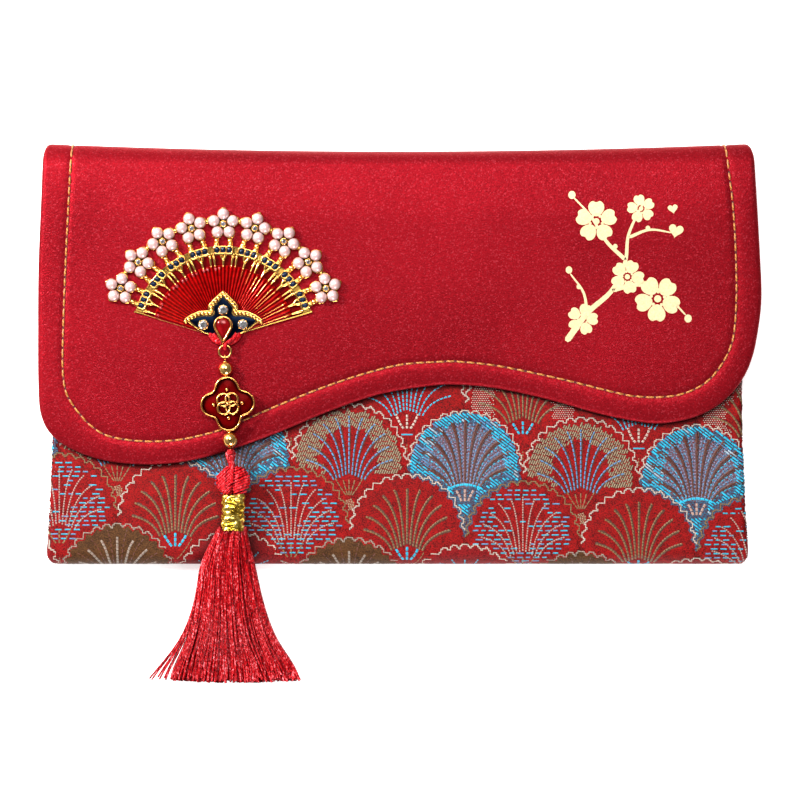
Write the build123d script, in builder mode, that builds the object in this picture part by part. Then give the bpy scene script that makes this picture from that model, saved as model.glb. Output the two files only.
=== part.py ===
"""Gift envelope of brocade and red satin, lying on its back.

+X runs along the width, +Y towards the top fold, +Z out of the front.
The origin is the middle of the back face, which rests on the table.
All sizes are in millimetres.
"""

from build123d import *
import math
import os

os.makedirs("parts", exist_ok=True)

# ---------------------------------------------------------------- driving sizes
# panels, front and back
BODY_BOTTOM_Y = -51.4        # where the flat panels end and the bottom fold begins
BODY_HALF_BOTTOM = 92.5      # half width at the bottom corners
BODY_HALF_WAIST = 91.0       # half width from the waist up
BODY_WAIST_Y = -17.0
MOUTH_Y = 40.0               # top edge of the front panel, the pocket mouth
BACK_HALF = 91.4             # half width of the red back panel
COVER_T = 0.5
BOARD_T = 0.8
LINING_T = 0.3
HEM = 1.5                    # turned edge of a cover around its board
POCKET_GAP = 4.8             # clear depth of the pocket

Z_BACK_BOARD = COVER_T
Z_BACK_LINING = Z_BACK_BOARD + BOARD_T
Z_POCKET_LOW = Z_BACK_LINING + LINING_T
Z_POCKET_HIGH = Z_POCKET_LOW + POCKET_GAP
Z_FRONT_BOARD = Z_POCKET_HIGH + LINING_T
Z_FRONT_COVER = Z_FRONT_BOARD + BOARD_T
Z_FRONT = Z_FRONT_COVER + COVER_T

# flap
FLAP_REST_GAP = 0.3
FLAP_LINING_T = 0.3
FLAP_BOARD_T = 0.6
FLAP_FOAM_T = 0.9
FLAP_COVER_T = 0.6
FLAP_HEM = 1.4
Z_FLAP_LINING = Z_FRONT + FLAP_REST_GAP
Z_FLAP_BOARD = Z_FLAP_LINING + FLAP_LINING_T
Z_FLAP_FOAM = Z_FLAP_BOARD + FLAP_BOARD_T
Z_FLAP_COVER = Z_FLAP_FOAM + FLAP_FOAM_T
Z_FLAP = Z_FLAP_COVER + FLAP_COVER_T

# top fold: a soft half round of cloth over the mouth, creased in two lines
FOLD_TOP_Y = 55.2
FOLD_R = Z_FLAP / 2
FOLD_Y = FOLD_TOP_Y - FOLD_R
FOLD_HALF = 93.6
FOLD_T = 0.5
CREASE_GAP_DEG = 1.2
CREASE_REACH = math.pi / 4 * FOLD_R          # crease lines stand this far out of the fold's centre
CREASE_LOW = (FOLD_Y + CREASE_REACH, FOLD_R - CREASE_REACH)
CREASE_HIGH = (FOLD_Y + CREASE_REACH, FOLD_R + CREASE_REACH)

# flap outline, from the left end of the fold round the wavy edge to the right end
FLAP_EDGE = [
    (-93.8, FOLD_Y), (-94.1, 40.9), (-94.8, 22.4), (-94.9, 4.0), (-94.8, -7.9),
    (-94.1, -15.8), (-91.0, -21.4), (-84.4, -25.6), (-75.9, -28.1), (-65.3, -28.9),
    (-54.8, -27.9), (-44.2, -25.1), (-31.0, -20.3), (-17.8, -14.8), (-4.6, -10.4),
    (8.6, -8.2), (16.5, -7.9), (27.1, -9.0), (40.3, -11.9), (53.5, -15.6),
    (64.0, -17.7), (70.6, -18.0), (78.5, -16.4), (85.1, -12.9), (90.4, -7.4),
    (93.6, -0.8), (95.4, 7.9), (96.1, 15.8), (95.7, 26.4), (94.9, 40.9),
    (94.4, FOLD_Y),
]
# topstitching, about 6 mm inside the flap's edge
STITCH_LINE = [
    (-86.3, 49.4), (-87.0, 35.0), (-87.8, 18.0), (-88.3, 1.3), (-88.2, -5.3),
    (-87.4, -9.8), (-85.6, -13.2), (-82.6, -17.0), (-79.9, -19.4), (-76.7, -21.2),
    (-71.8, -22.3), (-65.3, -22.8), (-58.0, -22.4), (-51.0, -21.0), (-46.0, -19.5),
    (-38.9, -16.5), (-31.0, -13.1), (-20.5, -8.9), (-9.9, -5.3), (0.7, -2.6),
    (11.2, -1.8), (16.5, -1.8), (27.1, -3.0), (42.9, -6.3), (58.7, -10.2),
    (64.0, -11.0), (69.3, -11.1), (74.6, -10.4), (79.9, -8.2), (83.8, -4.8),
    (87.3, 0.8), (88.9, 7.0), (89.4, 19.3), (88.7, 36.5), (87.3, 49.4),
]
STITCH_PITCH = 3.3
STITCH_L, STITCH_W, STITCH_H = 2.4, 0.55, 0.45

# closure: flat disc magnets in the flap, steel keepers in the front panel
CLOSURE_AT = [(-72.0, -9.0), (66.7, 1.0)]
MAGNET_R = 5.0

# fan brooch, about the point where its sticks meet
FAN = (-45.9, 4.5)
FAN_START, FAN_END = 17.0, 163.0
FLOWERS = 9
FLOWER_STEP = 16.1
FLOWER_R = 29.8              # from the fan's centre to a flower's centre
PETAL_RING = 2.75
PEARL_R = 1.5
BAND_IN, BAND_OUT = 21.9, 25.1
STONE_RING, STONE_STEP, STONE_R = 23.4, 4.5, 0.7
RIB_IN = 17.4
PLATE_T = 0.6
LEAF_T = 0.5
Z_PLATE = Z_FLAP
Z_LEAF = Z_PLATE + PLATE_T
Z_RIB = Z_LEAF + LEAF_T
Z_CREST = Z_RIB
CREST_T = 1.0
POST_AT = [(-57.0, 17.0), (-34.8, 17.0)]
POST_R = 0.6
WASHER_R = 3.0

# drop: ring, bead, charm, bead
Z_DROP = Z_FLAP + 2.2
RING = (-45.4, 0.9)
RING_MAJOR, RING_WIRE = 1.6, 0.3
DROP_TILT = 3.5              # the drop leans a little, in degrees
EYE_MAJOR, EYE_WIRE = 0.7, 0.2
UPPER_BEAD_R, LOWER_BEAD_R = 1.85, 1.95
BEAD_HOLE = 0.55
UPPER_BEAD_D = 3.0           # distances along the drop from the ring's lowest point
CHARM_D = 12.2
LOWER_BEAD_D = 21.7
LOWER_EYE_D = 24.6
LOBE_R, LOBE_D = 3.5, 3.62
CHARM_T = 2.0
CHARM_RIM = 0.75
CHARM_RECESS = 0.7

# tassel
CORD_LOOP_MAJOR, CORD_R = 1.0, 0.35
TASSEL_X = -43.5
KNOT_R, KNOT_T = 4.3, 4.6
KNOT_D = 8.3                 # distances along the tassel from its pivot
BINDING_D0, BINDING_D1 = 12.65, 21.2
SKIRT = [                    # distance, sideways shift, height, half width, half thickness
    (21.2, -0.1, 12.2, 3.2, 2.4),
    (25.0, -0.4, 11.4, 4.8, 2.6),
    (33.5, -0.6, 10.7, 7.6, 2.3),
    (41.5, -0.8, 10.2, 9.2, 1.8),
    (49.0, -0.9, 6.6, 11.2, 1.7),
    (55.5, -1.2, 3.2, 15.2, 1.7),
    (61.8, -1.6, 1.9, 19.6, 1.5),
]


def inset(points, d):
    """An open line moved to its left by d, with its ends kept on the fold line."""
    moved = []
    for i, (x, y) in enumerate(points):
        x0, y0 = points[max(i - 1, 0)]
        x1, y1 = points[min(i + 1, len(points) - 1)]
        n = math.hypot(x1 - x0, y1 - y0)
        moved.append((x - (y1 - y0) / n * d, y + (x1 - x0) / n * d))
    y_end = points[0][1] - d
    moved[0] = (moved[0][0], y_end)
    moved[-1] = (moved[-1][0], y_end)
    return moved


def walk(points, pitch, start=0.0):
    """Places along a line at an even pitch: (x, y, heading in degrees)."""
    places, left = [], start
    for (x0, y0), (x1, y1) in zip(points, points[1:]):
        run = math.hypot(x1 - x0, y1 - y0)
        heading = math.degrees(math.atan2(y1 - y0, x1 - x0))
        while left <= run:
            t = left / run
            places.append((x0 + (x1 - x0) * t, y0 + (y1 - y0) * t, heading))
            left += pitch
        left -= run
    return places


def polar(r, degrees, centre=FAN):
    a = math.radians(degrees)
    return (centre[0] + r * math.cos(a), centre[1] + r * math.sin(a))


def sector(r_in, r_out, a0, a1, centre=FAN):
    """A closed ring sector."""
    with BuildSketch() as shape:
        with BuildLine():
            outer = CenterArc(centre, r_out, a0, a1 - a0)
            inner = CenterArc(centre, r_in, a0, a1 - a0)
            Line(outer @ 0, inner @ 0)
            Line(outer @ 1, inner @ 1)
        make_face()
    return shape.sketch


def body_outline(margin, top, bottom=BODY_BOTTOM_Y):
    """Front panel outline: flared at the bottom, straight above the waist."""
    with BuildSketch() as shape:
        with BuildLine():
            Polyline(
                (-BODY_HALF_BOTTOM + margin, bottom),
                (BODY_HALF_BOTTOM - margin, bottom),
                (BODY_HALF_WAIST - margin, BODY_WAIST_Y),
                (BODY_HALF_WAIST - margin, top),
                (-BODY_HALF_WAIST + margin, top),
                (-BODY_HALF_WAIST + margin, BODY_WAIST_Y),
                close=True,
            )
        make_face()
    return shape.sketch


def flap_outline(d):
    """Flap outline moved in by d."""
    edge = inset(FLAP_EDGE, d) if d else FLAP_EDGE
    with BuildSketch() as shape:
        with BuildLine():
            wavy = Spline(*edge)
            Line(wavy @ 1, wavy @ 0)
        make_face()
    return shape.sketch


def keep(piece, name):
    piece.part.label = name
    export_step(piece.part, f"parts/{name}.step")


# ================================================================ pouch
# red back panel: a shallow tray round its board, its top edge curling into the fold
with BuildPart() as back_cover:
    with BuildSketch(Plane.XY):
        with Locations((0, (FOLD_Y + BODY_BOTTOM_Y) / 2)):
            Rectangle(2 * BACK_HALF, FOLD_Y - BODY_BOTTOM_Y)
    extrude(amount=COVER_T + BOARD_T)
    with BuildSketch(Plane.XY.offset(Z_BACK_BOARD)):
        with Locations((0, (FOLD_Y + BODY_BOTTOM_Y) / 2)):
            Rectangle(2 * (BACK_HALF - HEM), FOLD_Y - BODY_BOTTOM_Y - 2 * HEM)
    extrude(amount=BOARD_T, mode=Mode.SUBTRACT)
    with BuildSketch(Plane.YZ):
        add(sector(FOLD_R - FOLD_T, FOLD_R, -90, -45 - CREASE_GAP_DEG, (FOLD_Y, FOLD_R)))
    extrude(amount=BACK_HALF, both=True)
keep(back_cover, "back_cover")

with BuildPart() as back_board:
    with BuildSketch(Plane.XY.offset(Z_BACK_BOARD)):
        with Locations((0, (FOLD_Y + BODY_BOTTOM_Y) / 2)):
            Rectangle(2 * (BACK_HALF - HEM) - 0.1, FOLD_Y - BODY_BOTTOM_Y - 2 * HEM - 0.1)
    extrude(amount=BOARD_T)
keep(back_board, "back_board")

with BuildPart() as back_lining:
    with BuildSketch(Plane.XY.offset(Z_BACK_LINING)):
        with Locations((0, (FOLD_Y + BODY_BOTTOM_Y) / 2)):
            Rectangle(2 * BACK_HALF - 1.0, FOLD_Y - BODY_BOTTOM_Y - 1.0)
    extrude(amount=LINING_T)
keep(back_lining, "back_lining")

# brocade front: a shallow tray round its board, and the same cloth carried round the bottom edge
with BuildPart() as front_cover:
    with BuildSketch(Plane.XY.offset(Z_FRONT_BOARD)):
        add(body_outline(0, MOUTH_Y))
    extrude(amount=BOARD_T + COVER_T)
    with BuildSketch(Plane.XY.offset(Z_FRONT_BOARD)):
        add(body_outline(HEM, MOUTH_Y - HEM, BODY_BOTTOM_Y + HEM))
    extrude(amount=BOARD_T, mode=Mode.SUBTRACT)
keep(front_cover, "front_cover")

BOTTOM_R = Z_FRONT / 2
with BuildPart() as bottom_fold:
    with BuildSketch(Plane.YZ):
        add(sector(BOTTOM_R - 0.6, BOTTOM_R, 90, 270, (BODY_BOTTOM_Y, BOTTOM_R)))
    extrude(amount=BODY_HALF_BOTTOM, both=True)
keep(bottom_fold, "bottom_fold")

with BuildPart() as front_board:
    with BuildSketch(Plane.XY.offset(Z_FRONT_BOARD)):
        add(body_outline(HEM + 0.05, MOUTH_Y - HEM - 0.05, BODY_BOTTOM_Y + HEM + 0.05))
        with Locations(*CLOSURE_AT):
            Circle(MAGNET_R + 0.1, mode=Mode.SUBTRACT)
    extrude(amount=BOARD_T)
keep(front_board, "front_board")

with BuildPart() as keeper_plates:
    with BuildSketch(Plane.XY.offset(Z_FRONT_BOARD)):
        with Locations(*CLOSURE_AT):
            Circle(MAGNET_R)
    extrude(amount=BOARD_T)
keep(keeper_plates, "keeper_plates")

with BuildPart() as front_lining:
    with BuildSketch(Plane.XY.offset(Z_POCKET_HIGH)):
        add(body_outline(0.6, MOUTH_Y - 0.6, BODY_BOTTOM_Y + 0.6))
    extrude(amount=LINING_T)
keep(front_lining, "front_lining")

# side gussets: two leaves of cloth meeting in an inward crease
GUSSET_OUT, GUSSET_IN, GUSSET_W = 90.0, 84.6, 1.4
Z_MID = (Z_POCKET_LOW + Z_POCKET_HIGH) / 2


def gusset_leaf(side, z_edge):
    with BuildSketch() as shape:
        with BuildLine():
            Polyline(
                (side * GUSSET_OUT, z_edge),
                (side * (GUSSET_OUT - GUSSET_W), z_edge),
                (side * (GUSSET_IN - GUSSET_W), Z_MID),
                (side * GUSSET_IN, Z_MID),
                close=True,
            )
        make_face()
    return shape.sketch


GUSSET_RUN = MOUTH_Y - 0.6 - BODY_BOTTOM_Y - 0.6
for side, name in ((-1, "left_gusset"), (1, "right_gusset")):
    # the leaves stay a hair apart along the crease, so each is its own strip
    with BuildPart() as gusset:
        with BuildSketch(Plane.XZ.offset(-(MOUTH_Y - 0.6))):
            add(gusset_leaf(side, Z_POCKET_LOW))
        extrude(amount=GUSSET_RUN)
        with BuildSketch(Plane.XZ.offset(-(MOUTH_Y - 0.6))):
            add(gusset_leaf(side, Z_POCKET_HIGH))
        extrude(amount=GUSSET_RUN)
    keep(gusset, name)

# thread that sews the red panel down, along the sides and the bottom of the back
BACK_STITCH_LINE = [
    (-BACK_HALF + 6.0, FOLD_Y - 1.0),
    (-BACK_HALF + 6.0, BODY_BOTTOM_Y + 6.0),
    (BACK_HALF - 6.0, BODY_BOTTOM_Y + 6.0),
    (BACK_HALF - 6.0, FOLD_Y - 1.0),
]
with BuildPart() as back_stitching:
    for x, y, heading in walk(BACK_STITCH_LINE, STITCH_PITCH, 1.0):
        with BuildSketch(Plane.XY):
            with Locations(Location((x, y, 0), heading)):
                SlotOverall(STITCH_L, STITCH_W)
        extrude(amount=0.3)
keep(back_stitching, "back_stitching")

# ================================================================ spine of the fold
with BuildPart() as spine_cover:
    with BuildSketch(Plane.YZ):
        add(sector(FOLD_R - FOLD_T, FOLD_R, -45 + CREASE_GAP_DEG, 45 - CREASE_GAP_DEG, (FOLD_Y, FOLD_R)))
    extrude(amount=FOLD_HALF, both=True)
keep(spine_cover, "spine_cover")

with BuildPart() as spine_lining:
    with BuildSketch(Plane.YZ):
        add(sector(FOLD_R - FOLD_T - LINING_T, FOLD_R - FOLD_T, -44 + CREASE_GAP_DEG, 44 - CREASE_GAP_DEG, (FOLD_Y, FOLD_R)))
    extrude(amount=FOLD_HALF - 1.0, both=True)
keep(spine_lining, "spine_lining")

# ================================================================ flap
with BuildPart() as flap_cover:
    with BuildSketch(Plane.XY.offset(Z_FLAP_BOARD)):
        add(flap_outline(0))
    extrude(amount=Z_FLAP - Z_FLAP_BOARD)
    with BuildSketch(Plane.XY.offset(Z_FLAP_BOARD)):
        add(flap_outline(FLAP_HEM))
    extrude(amount=Z_FLAP_COVER - Z_FLAP_BOARD, mode=Mode.SUBTRACT)
    with BuildSketch(Plane.YZ):
        add(sector(FOLD_R - FOLD_T, FOLD_R, 45 + CREASE_GAP_DEG, 90, (FOLD_Y, FOLD_R)))
    extrude(amount=FOLD_HALF, both=True)
    with BuildSketch(Plane.XY.offset(Z_FLAP_COVER)):
        with Locations(*POST_AT):
            Circle(POST_R + 0.02)
    extrude(amount=FLAP_COVER_T, mode=Mode.SUBTRACT)
keep(flap_cover, "flap_cover")

with BuildPart() as flap_board:
    with BuildSketch(Plane.XY.offset(Z_FLAP_BOARD)):
        add(flap_outline(FLAP_HEM + 0.3))
        with Locations(*POST_AT):
            Circle(WASHER_R + 0.1, mode=Mode.SUBTRACT)
    extrude(amount=FLAP_BOARD_T)
keep(flap_board, "flap_board")

with BuildPart() as flap_foam:
    with BuildSketch(Plane.XY.offset(Z_FLAP_FOAM)):
        add(flap_outline(FLAP_HEM + 0.2))
        with Locations(*POST_AT):
            Circle(POST_R + 0.02, mode=Mode.SUBTRACT)
        with Locations(*CLOSURE_AT):
            Circle(MAGNET_R + 0.1, mode=Mode.SUBTRACT)
    extrude(amount=FLAP_FOAM_T)
keep(flap_foam, "flap_foam")

with BuildPart() as flap_magnets:
    with BuildSketch(Plane.XY.offset(Z_FLAP_FOAM)):
        with Locations(*CLOSURE_AT):
            Circle(MAGNET_R)
    extrude(amount=FLAP_FOAM_T)
keep(flap_magnets, "flap_magnets")

with BuildPart() as flap_lining:
    with BuildSketch(Plane.XY.offset(Z_FLAP_LINING)):
        add(flap_outline(0.6))
    extrude(amount=FLAP_LINING_T)
keep(flap_lining, "flap_lining")

with BuildPart() as flap_stitching:
    for x, y, heading in walk(STITCH_LINE, STITCH_PITCH, 0.5):
        with BuildSketch(Plane.XY.offset(Z_FLAP - 0.25)):
            with Locations(Location((x, y, 0), heading)):
                SlotOverall(STITCH_L, STITCH_W)
        extrude(amount=STITCH_H)
keep(flap_stitching, "flap_stitching")

# ================================================================ fan brooch
FLOWER_ANGLES = [90 + FLOWER_STEP * (k - (FLOWERS - 1) / 2) for k in range(FLOWERS)]

# gold casting: back plate, flower cups on paired stems, and the railed band of stone seats
with BuildPart() as fan_frame:
    with BuildSketch(Plane.XY.offset(Z_PLATE)):
        add(sector(3.0, BAND_OUT, FAN_START, FAN_END))
        for a in FLOWER_ANGLES:
            c = polar(FLOWER_R, a)
            with Locations(c):
                Circle(PETAL_RING)
            with Locations(*[polar(PETAL_RING, a + 72 * k, c) for k in range(5)]):
                Circle(PEARL_R + 0.2)
            for side in (-1, 1):
                m = polar((BAND_OUT + FLOWER_R) / 2 - 0.6, a + side * 2.9)
                with Locations(Location((m[0], m[1], 0), a)):
                    Rectangle(4.2, 0.9)
    extrude(amount=PLATE_T)
    with BuildSketch(Plane.XY.offset(Z_LEAF)):
        add(sector(BAND_IN, BAND_IN + 0.5, FAN_START, FAN_END))
        add(sector(BAND_OUT - 0.5, BAND_OUT, FAN_START, FAN_END))
        for k in range(FLOWERS + 1):
            a = FLOWER_ANGLES[0] + FLOWER_STEP * (k - 0.5)
            a = min(max(a, FAN_START + 0.8), FAN_END - 0.8)
            add(sector(BAND_IN, BAND_OUT, a - 0.8, a + 0.8))
    extrude(amount=1.0)
keep(fan_frame, "fan_frame")

# red enamelled leaf of the fan
with BuildPart() as fan_leaf:
    with BuildSketch(Plane.XY.offset(Z_LEAF)):
        add(sector(4.0, BAND_IN - 0.03, FAN_START + 0.5, FAN_END - 0.5))
    extrude(amount=LEAF_T)
keep(fan_leaf, "fan_leaf")

# short gold sticks at the outer end of the pleats
with BuildPart() as fan_ribs:
    with BuildSketch(Plane.XY.offset(Z_RIB)):
        for k in range(3 * FLOWERS + 1):
            a = FLOWER_ANGLES[0] + FLOWER_STEP * (k / 3 - 0.5)
            a = min(max(a, FAN_START + 1.0), FAN_END - 1.0)
            m = polar((RIB_IN + BAND_IN) / 2 - 0.02, a)
            with Locations(Location((m[0], m[1], 0), a)):
                Rectangle(BAND_IN - RIB_IN - 0.1, 0.5)
    extrude(amount=0.5)
keep(fan_ribs, "fan_ribs")

PEARLS = [polar(PETAL_RING, a + 72 * k, polar(FLOWER_R, a)) for a in FLOWER_ANGLES for k in range(5)]
with BuildPart() as flower_pearls:
    with Locations(*[(x, y, Z_LEAF + 0.8) for x, y in PEARLS]):
        Sphere(PEARL_R)
    split(bisect_by=Plane.XY.offset(Z_LEAF), keep=Keep.TOP)
keep(flower_pearls, "flower_pearls")

with BuildPart() as flower_crystals:
    with Locations(*[(*polar(FLOWER_R, a), Z_LEAF + 0.4) for a in FLOWER_ANGLES]):
        Cone(0.85, 0.5, 0.8)
keep(flower_crystals, "flower_crystals")

STONES = [polar(STONE_RING, a + STONE_STEP * k) for a in FLOWER_ANGLES for k in (-1, 0, 1)]
with BuildPart() as band_stones:
    with Locations(*[(x, y, Z_LEAF + 0.3) for x, y in STONES]):
        Cylinder(STONE_R, 0.6)
    with Locations(*[(x, y, Z_LEAF + 0.8) for x, y in STONES]):
        Cone(STONE_R, 0.4, 0.4)
keep(band_stones, "band_stones")

# three-petalled crest over the fan's foot
CREST_HALF = [
    (0.0, 11.6), (1.6, 10.6), (3.2, 8.7), (3.8, 7.1), (3.4, 6.1), (5.3, 7.0),
    (7.4, 6.6), (10.1, 4.8), (7.7, 3.5), (5.8, 1.9), (3.7, 0.8), (1.6, 0.1),
]


def crest_outline(shrink):
    middle = 5.0
    right = [(FAN[0] + x * shrink, FAN[1] + middle + (y - middle) * shrink) for x, y in CREST_HALF]
    left = [(2 * FAN[0] - x, y) for x, y in reversed(right[1:])]
    with BuildSketch() as shape:
        with BuildLine():
            Polyline(*right, *left, close=True)
        make_face()
    return shape.sketch


DROP_C = (FAN[0], FAN[1] + 3.2)              # middle of the teardrop's round end


def teardrop(r, d):
    """A round end with two straight sides running to a point."""
    beta = math.asin(r / d)
    with BuildSketch() as shape:
        with Locations(DROP_C):
            Circle(r)
        with BuildLine():
            Polyline(
                (DROP_C[0] - r * math.cos(beta), DROP_C[1] - r * math.sin(beta)),
                (DROP_C[0] + r * math.cos(beta), DROP_C[1] - r * math.sin(beta)),
                (DROP_C[0], DROP_C[1] - d),
                close=True,
            )
        make_face()
    return shape.sketch


CREST_STONES = [(FAN[0], FAN[1] + 7.1), (FAN[0] - 5.1, FAN[1] + 3.2), (FAN[0] + 5.1, FAN[1] + 3.2)]
Z_CREST_TOP = Z_CREST + CREST_T
with BuildPart() as crest:
    with BuildSketch(Plane.XY.offset(Z_CREST)):
        add(crest_outline(1.0))
    extrude(amount=CREST_T)
    with BuildSketch(Plane.XY.offset(Z_CREST_TOP - 0.35)):
        add(crest_outline(0.8))
        with Locations(*CREST_STONES):
            Circle(1.35, mode=Mode.SUBTRACT)
        add(teardrop(2.6, 4.5))
    extrude(amount=0.35, mode=Mode.SUBTRACT)
keep(crest, "crest")

with BuildPart() as crest_enamel:
    with BuildSketch(Plane.XY.offset(Z_CREST_TOP - 0.35)):
        add(crest_outline(0.8))
        with Locations(*CREST_STONES):
            Circle(1.35, mode=Mode.SUBTRACT)
        add(teardrop(2.62, 4.52), mode=Mode.SUBTRACT)
    extrude(amount=0.35)
keep(crest_enamel, "crest_enamel")

with BuildPart() as crest_crystals:
    with Locations(*[(x, y, Z_CREST_TOP + 0.25) for x, y in CREST_STONES]):
        Cylinder(1.15, 0.5)
    with Locations(*[(x, y, Z_CREST_TOP + 0.7) for x, y in CREST_STONES]):
        Cone(1.15, 0.65, 0.4)
    # the teardrop's collar stands over the edge of the middle stone's seat
    with BuildSketch(Plane.XY.offset(Z_CREST_TOP)):
        add(teardrop(2.66, 4.56))
    extrude(amount=2.0, mode=Mode.SUBTRACT)
keep(crest_crystals, "crest_crystals")

with BuildPart() as teardrop_collar:
    with BuildSketch(Plane.XY.offset(Z_CREST_TOP - 0.35)):
        add(teardrop(2.6, 4.5))
    extrude(amount=1.65)
    with BuildSketch(Plane.XY.offset(Z_CREST_TOP)):
        add(teardrop(2.05, 3.55))
    extrude(amount=2.0, mode=Mode.SUBTRACT)
keep(teardrop_collar, "teardrop_collar")

with BuildPart() as teardrop_stone:
    with BuildSketch(Plane.XY.offset(Z_CREST_TOP)):
        add(teardrop(2.03, 3.53))
    extrude(amount=1.0)
keep(teardrop_stone, "teardrop_stone")

# two posts through the flap, clenched over washers under its lining
with BuildPart() as brooch_posts:
    with BuildSketch(Plane.XY.offset(Z_FLAP_BOARD + 0.1)):
        with Locations(*POST_AT):
            Circle(POST_R)
    extrude(amount=Z_PLATE - Z_FLAP_BOARD - 0.1)
keep(brooch_posts, "brooch_posts")

with BuildPart() as post_washers:
    with BuildSketch(Plane.XY.offset(Z_FLAP_BOARD + 0.1)):
        with Locations(*POST_AT):
            Circle(WASHER_R)
            Circle(POST_R, mode=Mode.SUBTRACT)
    extrude(amount=0.4)
keep(post_washers, "post_washers")

# red cord: its bight holds the ring, and its two ends run up behind the crest
LOOP_R, LOOP_CORD = 0.95, 0.44
RING_TOP = (RING[0], RING[1] + RING_MAJOR, Z_DROP)
with BuildPart() as hanger_cord:
    with BuildLine(Plane.YZ.offset(RING_TOP[0])) as bight:
        CenterArc((RING_TOP[1], Z_DROP), LOOP_R, 90, 180)
    with BuildSketch(Plane(origin=(RING_TOP[0], RING_TOP[1], Z_DROP + LOOP_R), z_dir=(0, -1, 0))):
        Circle(LOOP_CORD)
    sweep(path=bight.line)
    for dz, dx in ((LOOP_R, 1.0), (-LOOP_R, -1.0)):
        start = Vector(RING_TOP[0], RING_TOP[1], Z_DROP + dz)
        end = Vector(RING_TOP[0] + dx * 2.6, RING_TOP[1] + 2.5, Z_DROP - LOOP_R + 0.3)
        with Locations(Location(start)):
            Sphere(LOOP_CORD)
        with BuildSketch(Plane(origin=start, z_dir=end - start)):
            Circle(LOOP_CORD)
        extrude(amount=(end - start).length)
keep(hanger_cord, "hanger_cord")

# ================================================================ drop
with BuildPart() as jump_ring:
    with Locations((RING[0], RING[1], Z_DROP)):
        Torus(RING_MAJOR, RING_WIRE)
keep(jump_ring, "jump_ring")

SWING_AT = (RING[0], RING[1] - RING_MAJOR, Z_DROP)
tilt = math.radians(DROP_TILT)
DROP = Plane(origin=SWING_AT, x_dir=(math.cos(tilt), math.sin(tilt), 0), z_dir=(0, 0, 1))


def on_drop(d, z=0.0):
    """Location at distance d down the drop."""
    return DROP.location * Location((0, -d, z))


with BuildPart() as upper_bead:
    with Locations(on_drop(UPPER_BEAD_D)):
        Sphere(UPPER_BEAD_R)
        Cylinder(BEAD_HOLE, 3 * UPPER_BEAD_R, rotation=(90, 0, 0), mode=Mode.SUBTRACT)
keep(upper_bead, "upper_bead")

with BuildPart() as upper_eye_pin:
    with Locations(on_drop(0.0)):
        Torus(EYE_MAJOR, EYE_WIRE, rotation=(0, 90, 0))
    pin_start, pin_end = EYE_MAJOR, CHARM_D - LOBE_R - LOBE_D
    with Locations(on_drop((pin_start + pin_end) / 2)):
        Cylinder(0.35, pin_end - pin_start, rotation=(90, 0, 0))
keep(upper_eye_pin, "upper_eye_pin")


def quatrefoil(r):
    with Locations((LOBE_D, 0), (-LOBE_D, 0), (0, LOBE_D), (0, -LOBE_D)):
        Circle(r)
    Rectangle(2 * LOBE_D, 2 * LOBE_D)


CHARM = Plane(origin=on_drop(CHARM_D, -CHARM_T / 2).position, x_dir=DROP.x_dir, z_dir=(0, 0, 1))
with BuildPart() as charm_frame:
    with BuildSketch(CHARM):
        quatrefoil(LOBE_R)
    extrude(amount=CHARM_T)
    with BuildSketch(CHARM.offset(CHARM_T - CHARM_RECESS)):
        quatrefoil(LOBE_R - CHARM_RIM)
    extrude(amount=CHARM_RECESS, mode=Mode.SUBTRACT)
keep(charm_frame, "charm_frame")

with BuildPart() as charm_enamel:
    with BuildSketch(CHARM.offset(CHARM_T - CHARM_RECESS)):
        quatrefoil(LOBE_R - CHARM_RIM)
    extrude(amount=CHARM_RECESS - 0.25)
keep(charm_enamel, "charm_enamel")

# gold rosette of four linked rings on the enamel
with BuildPart() as charm_rosette:
    with BuildSketch(CHARM.offset(CHARM_T - 0.25)):
        with Locations((1.25, 0), (-1.25, 0), (0, 1.25), (0, -1.25)):
            Circle(1.55)
        with Locations((1.25, 0), (-1.25, 0), (0, 1.25), (0, -1.25)):
            Circle(1.1, mode=Mode.SUBTRACT)
        for k in range(4):
            with Locations(Location((0, 0, 0), 90 * k + 45)):
                Rectangle(0.35, 4.2)
    extrude(amount=0.35)
keep(charm_rosette, "charm_rosette")

with BuildPart() as lower_bead:
    with Locations(on_drop(LOWER_BEAD_D)):
        Sphere(LOWER_BEAD_R)
        Cylinder(BEAD_HOLE, 3 * LOWER_BEAD_R, rotation=(90, 0, 0), mode=Mode.SUBTRACT)
keep(lower_bead, "lower_bead")

with BuildPart() as lower_eye_pin:
    with Locations(on_drop(LOWER_EYE_D)):
        Torus(EYE_MAJOR, EYE_WIRE, rotation=(0, 90, 0))
    pin_start, pin_end = CHARM_D + LOBE_R + LOBE_D, LOWER_EYE_D - EYE_MAJOR
    with Locations(on_drop((pin_start + pin_end) / 2)):
        Cylinder(0.35, pin_end - pin_start, rotation=(90, 0, 0))
keep(lower_eye_pin, "lower_eye_pin")

# ================================================================ tassel
PIVOT = on_drop(LOWER_EYE_D).position


def on_tassel(d, dx=0.0, z=None):
    return (PIVOT.X + dx, PIVOT.Y - d, Z_DROP if z is None else z)


with BuildPart() as tassel_cord:
    with Locations(on_tassel(CORD_LOOP_MAJOR)):
        Torus(CORD_LOOP_MAJOR, CORD_R)
    cord_start, cord_end = 2 * CORD_LOOP_MAJOR - 0.1, KNOT_D - KNOT_R + 0.6
    with Locations(on_tassel((cord_start + cord_end) / 2)):
        Cylinder(0.9, cord_end - cord_start, rotation=(90, 0, 0))
keep(tassel_cord, "tassel_cord")

Z_KNOT = Z_FLAP + 0.35 + KNOT_T / 2
with BuildPart() as tassel_knot:
    with Locations(on_tassel(KNOT_D, z=Z_KNOT)):
        Cylinder(KNOT_R, KNOT_T)
    fillet(tassel_knot.edges().filter_by(GeomType.CIRCLE), 1.9)
keep(tassel_knot, "tassel_knot")

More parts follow.
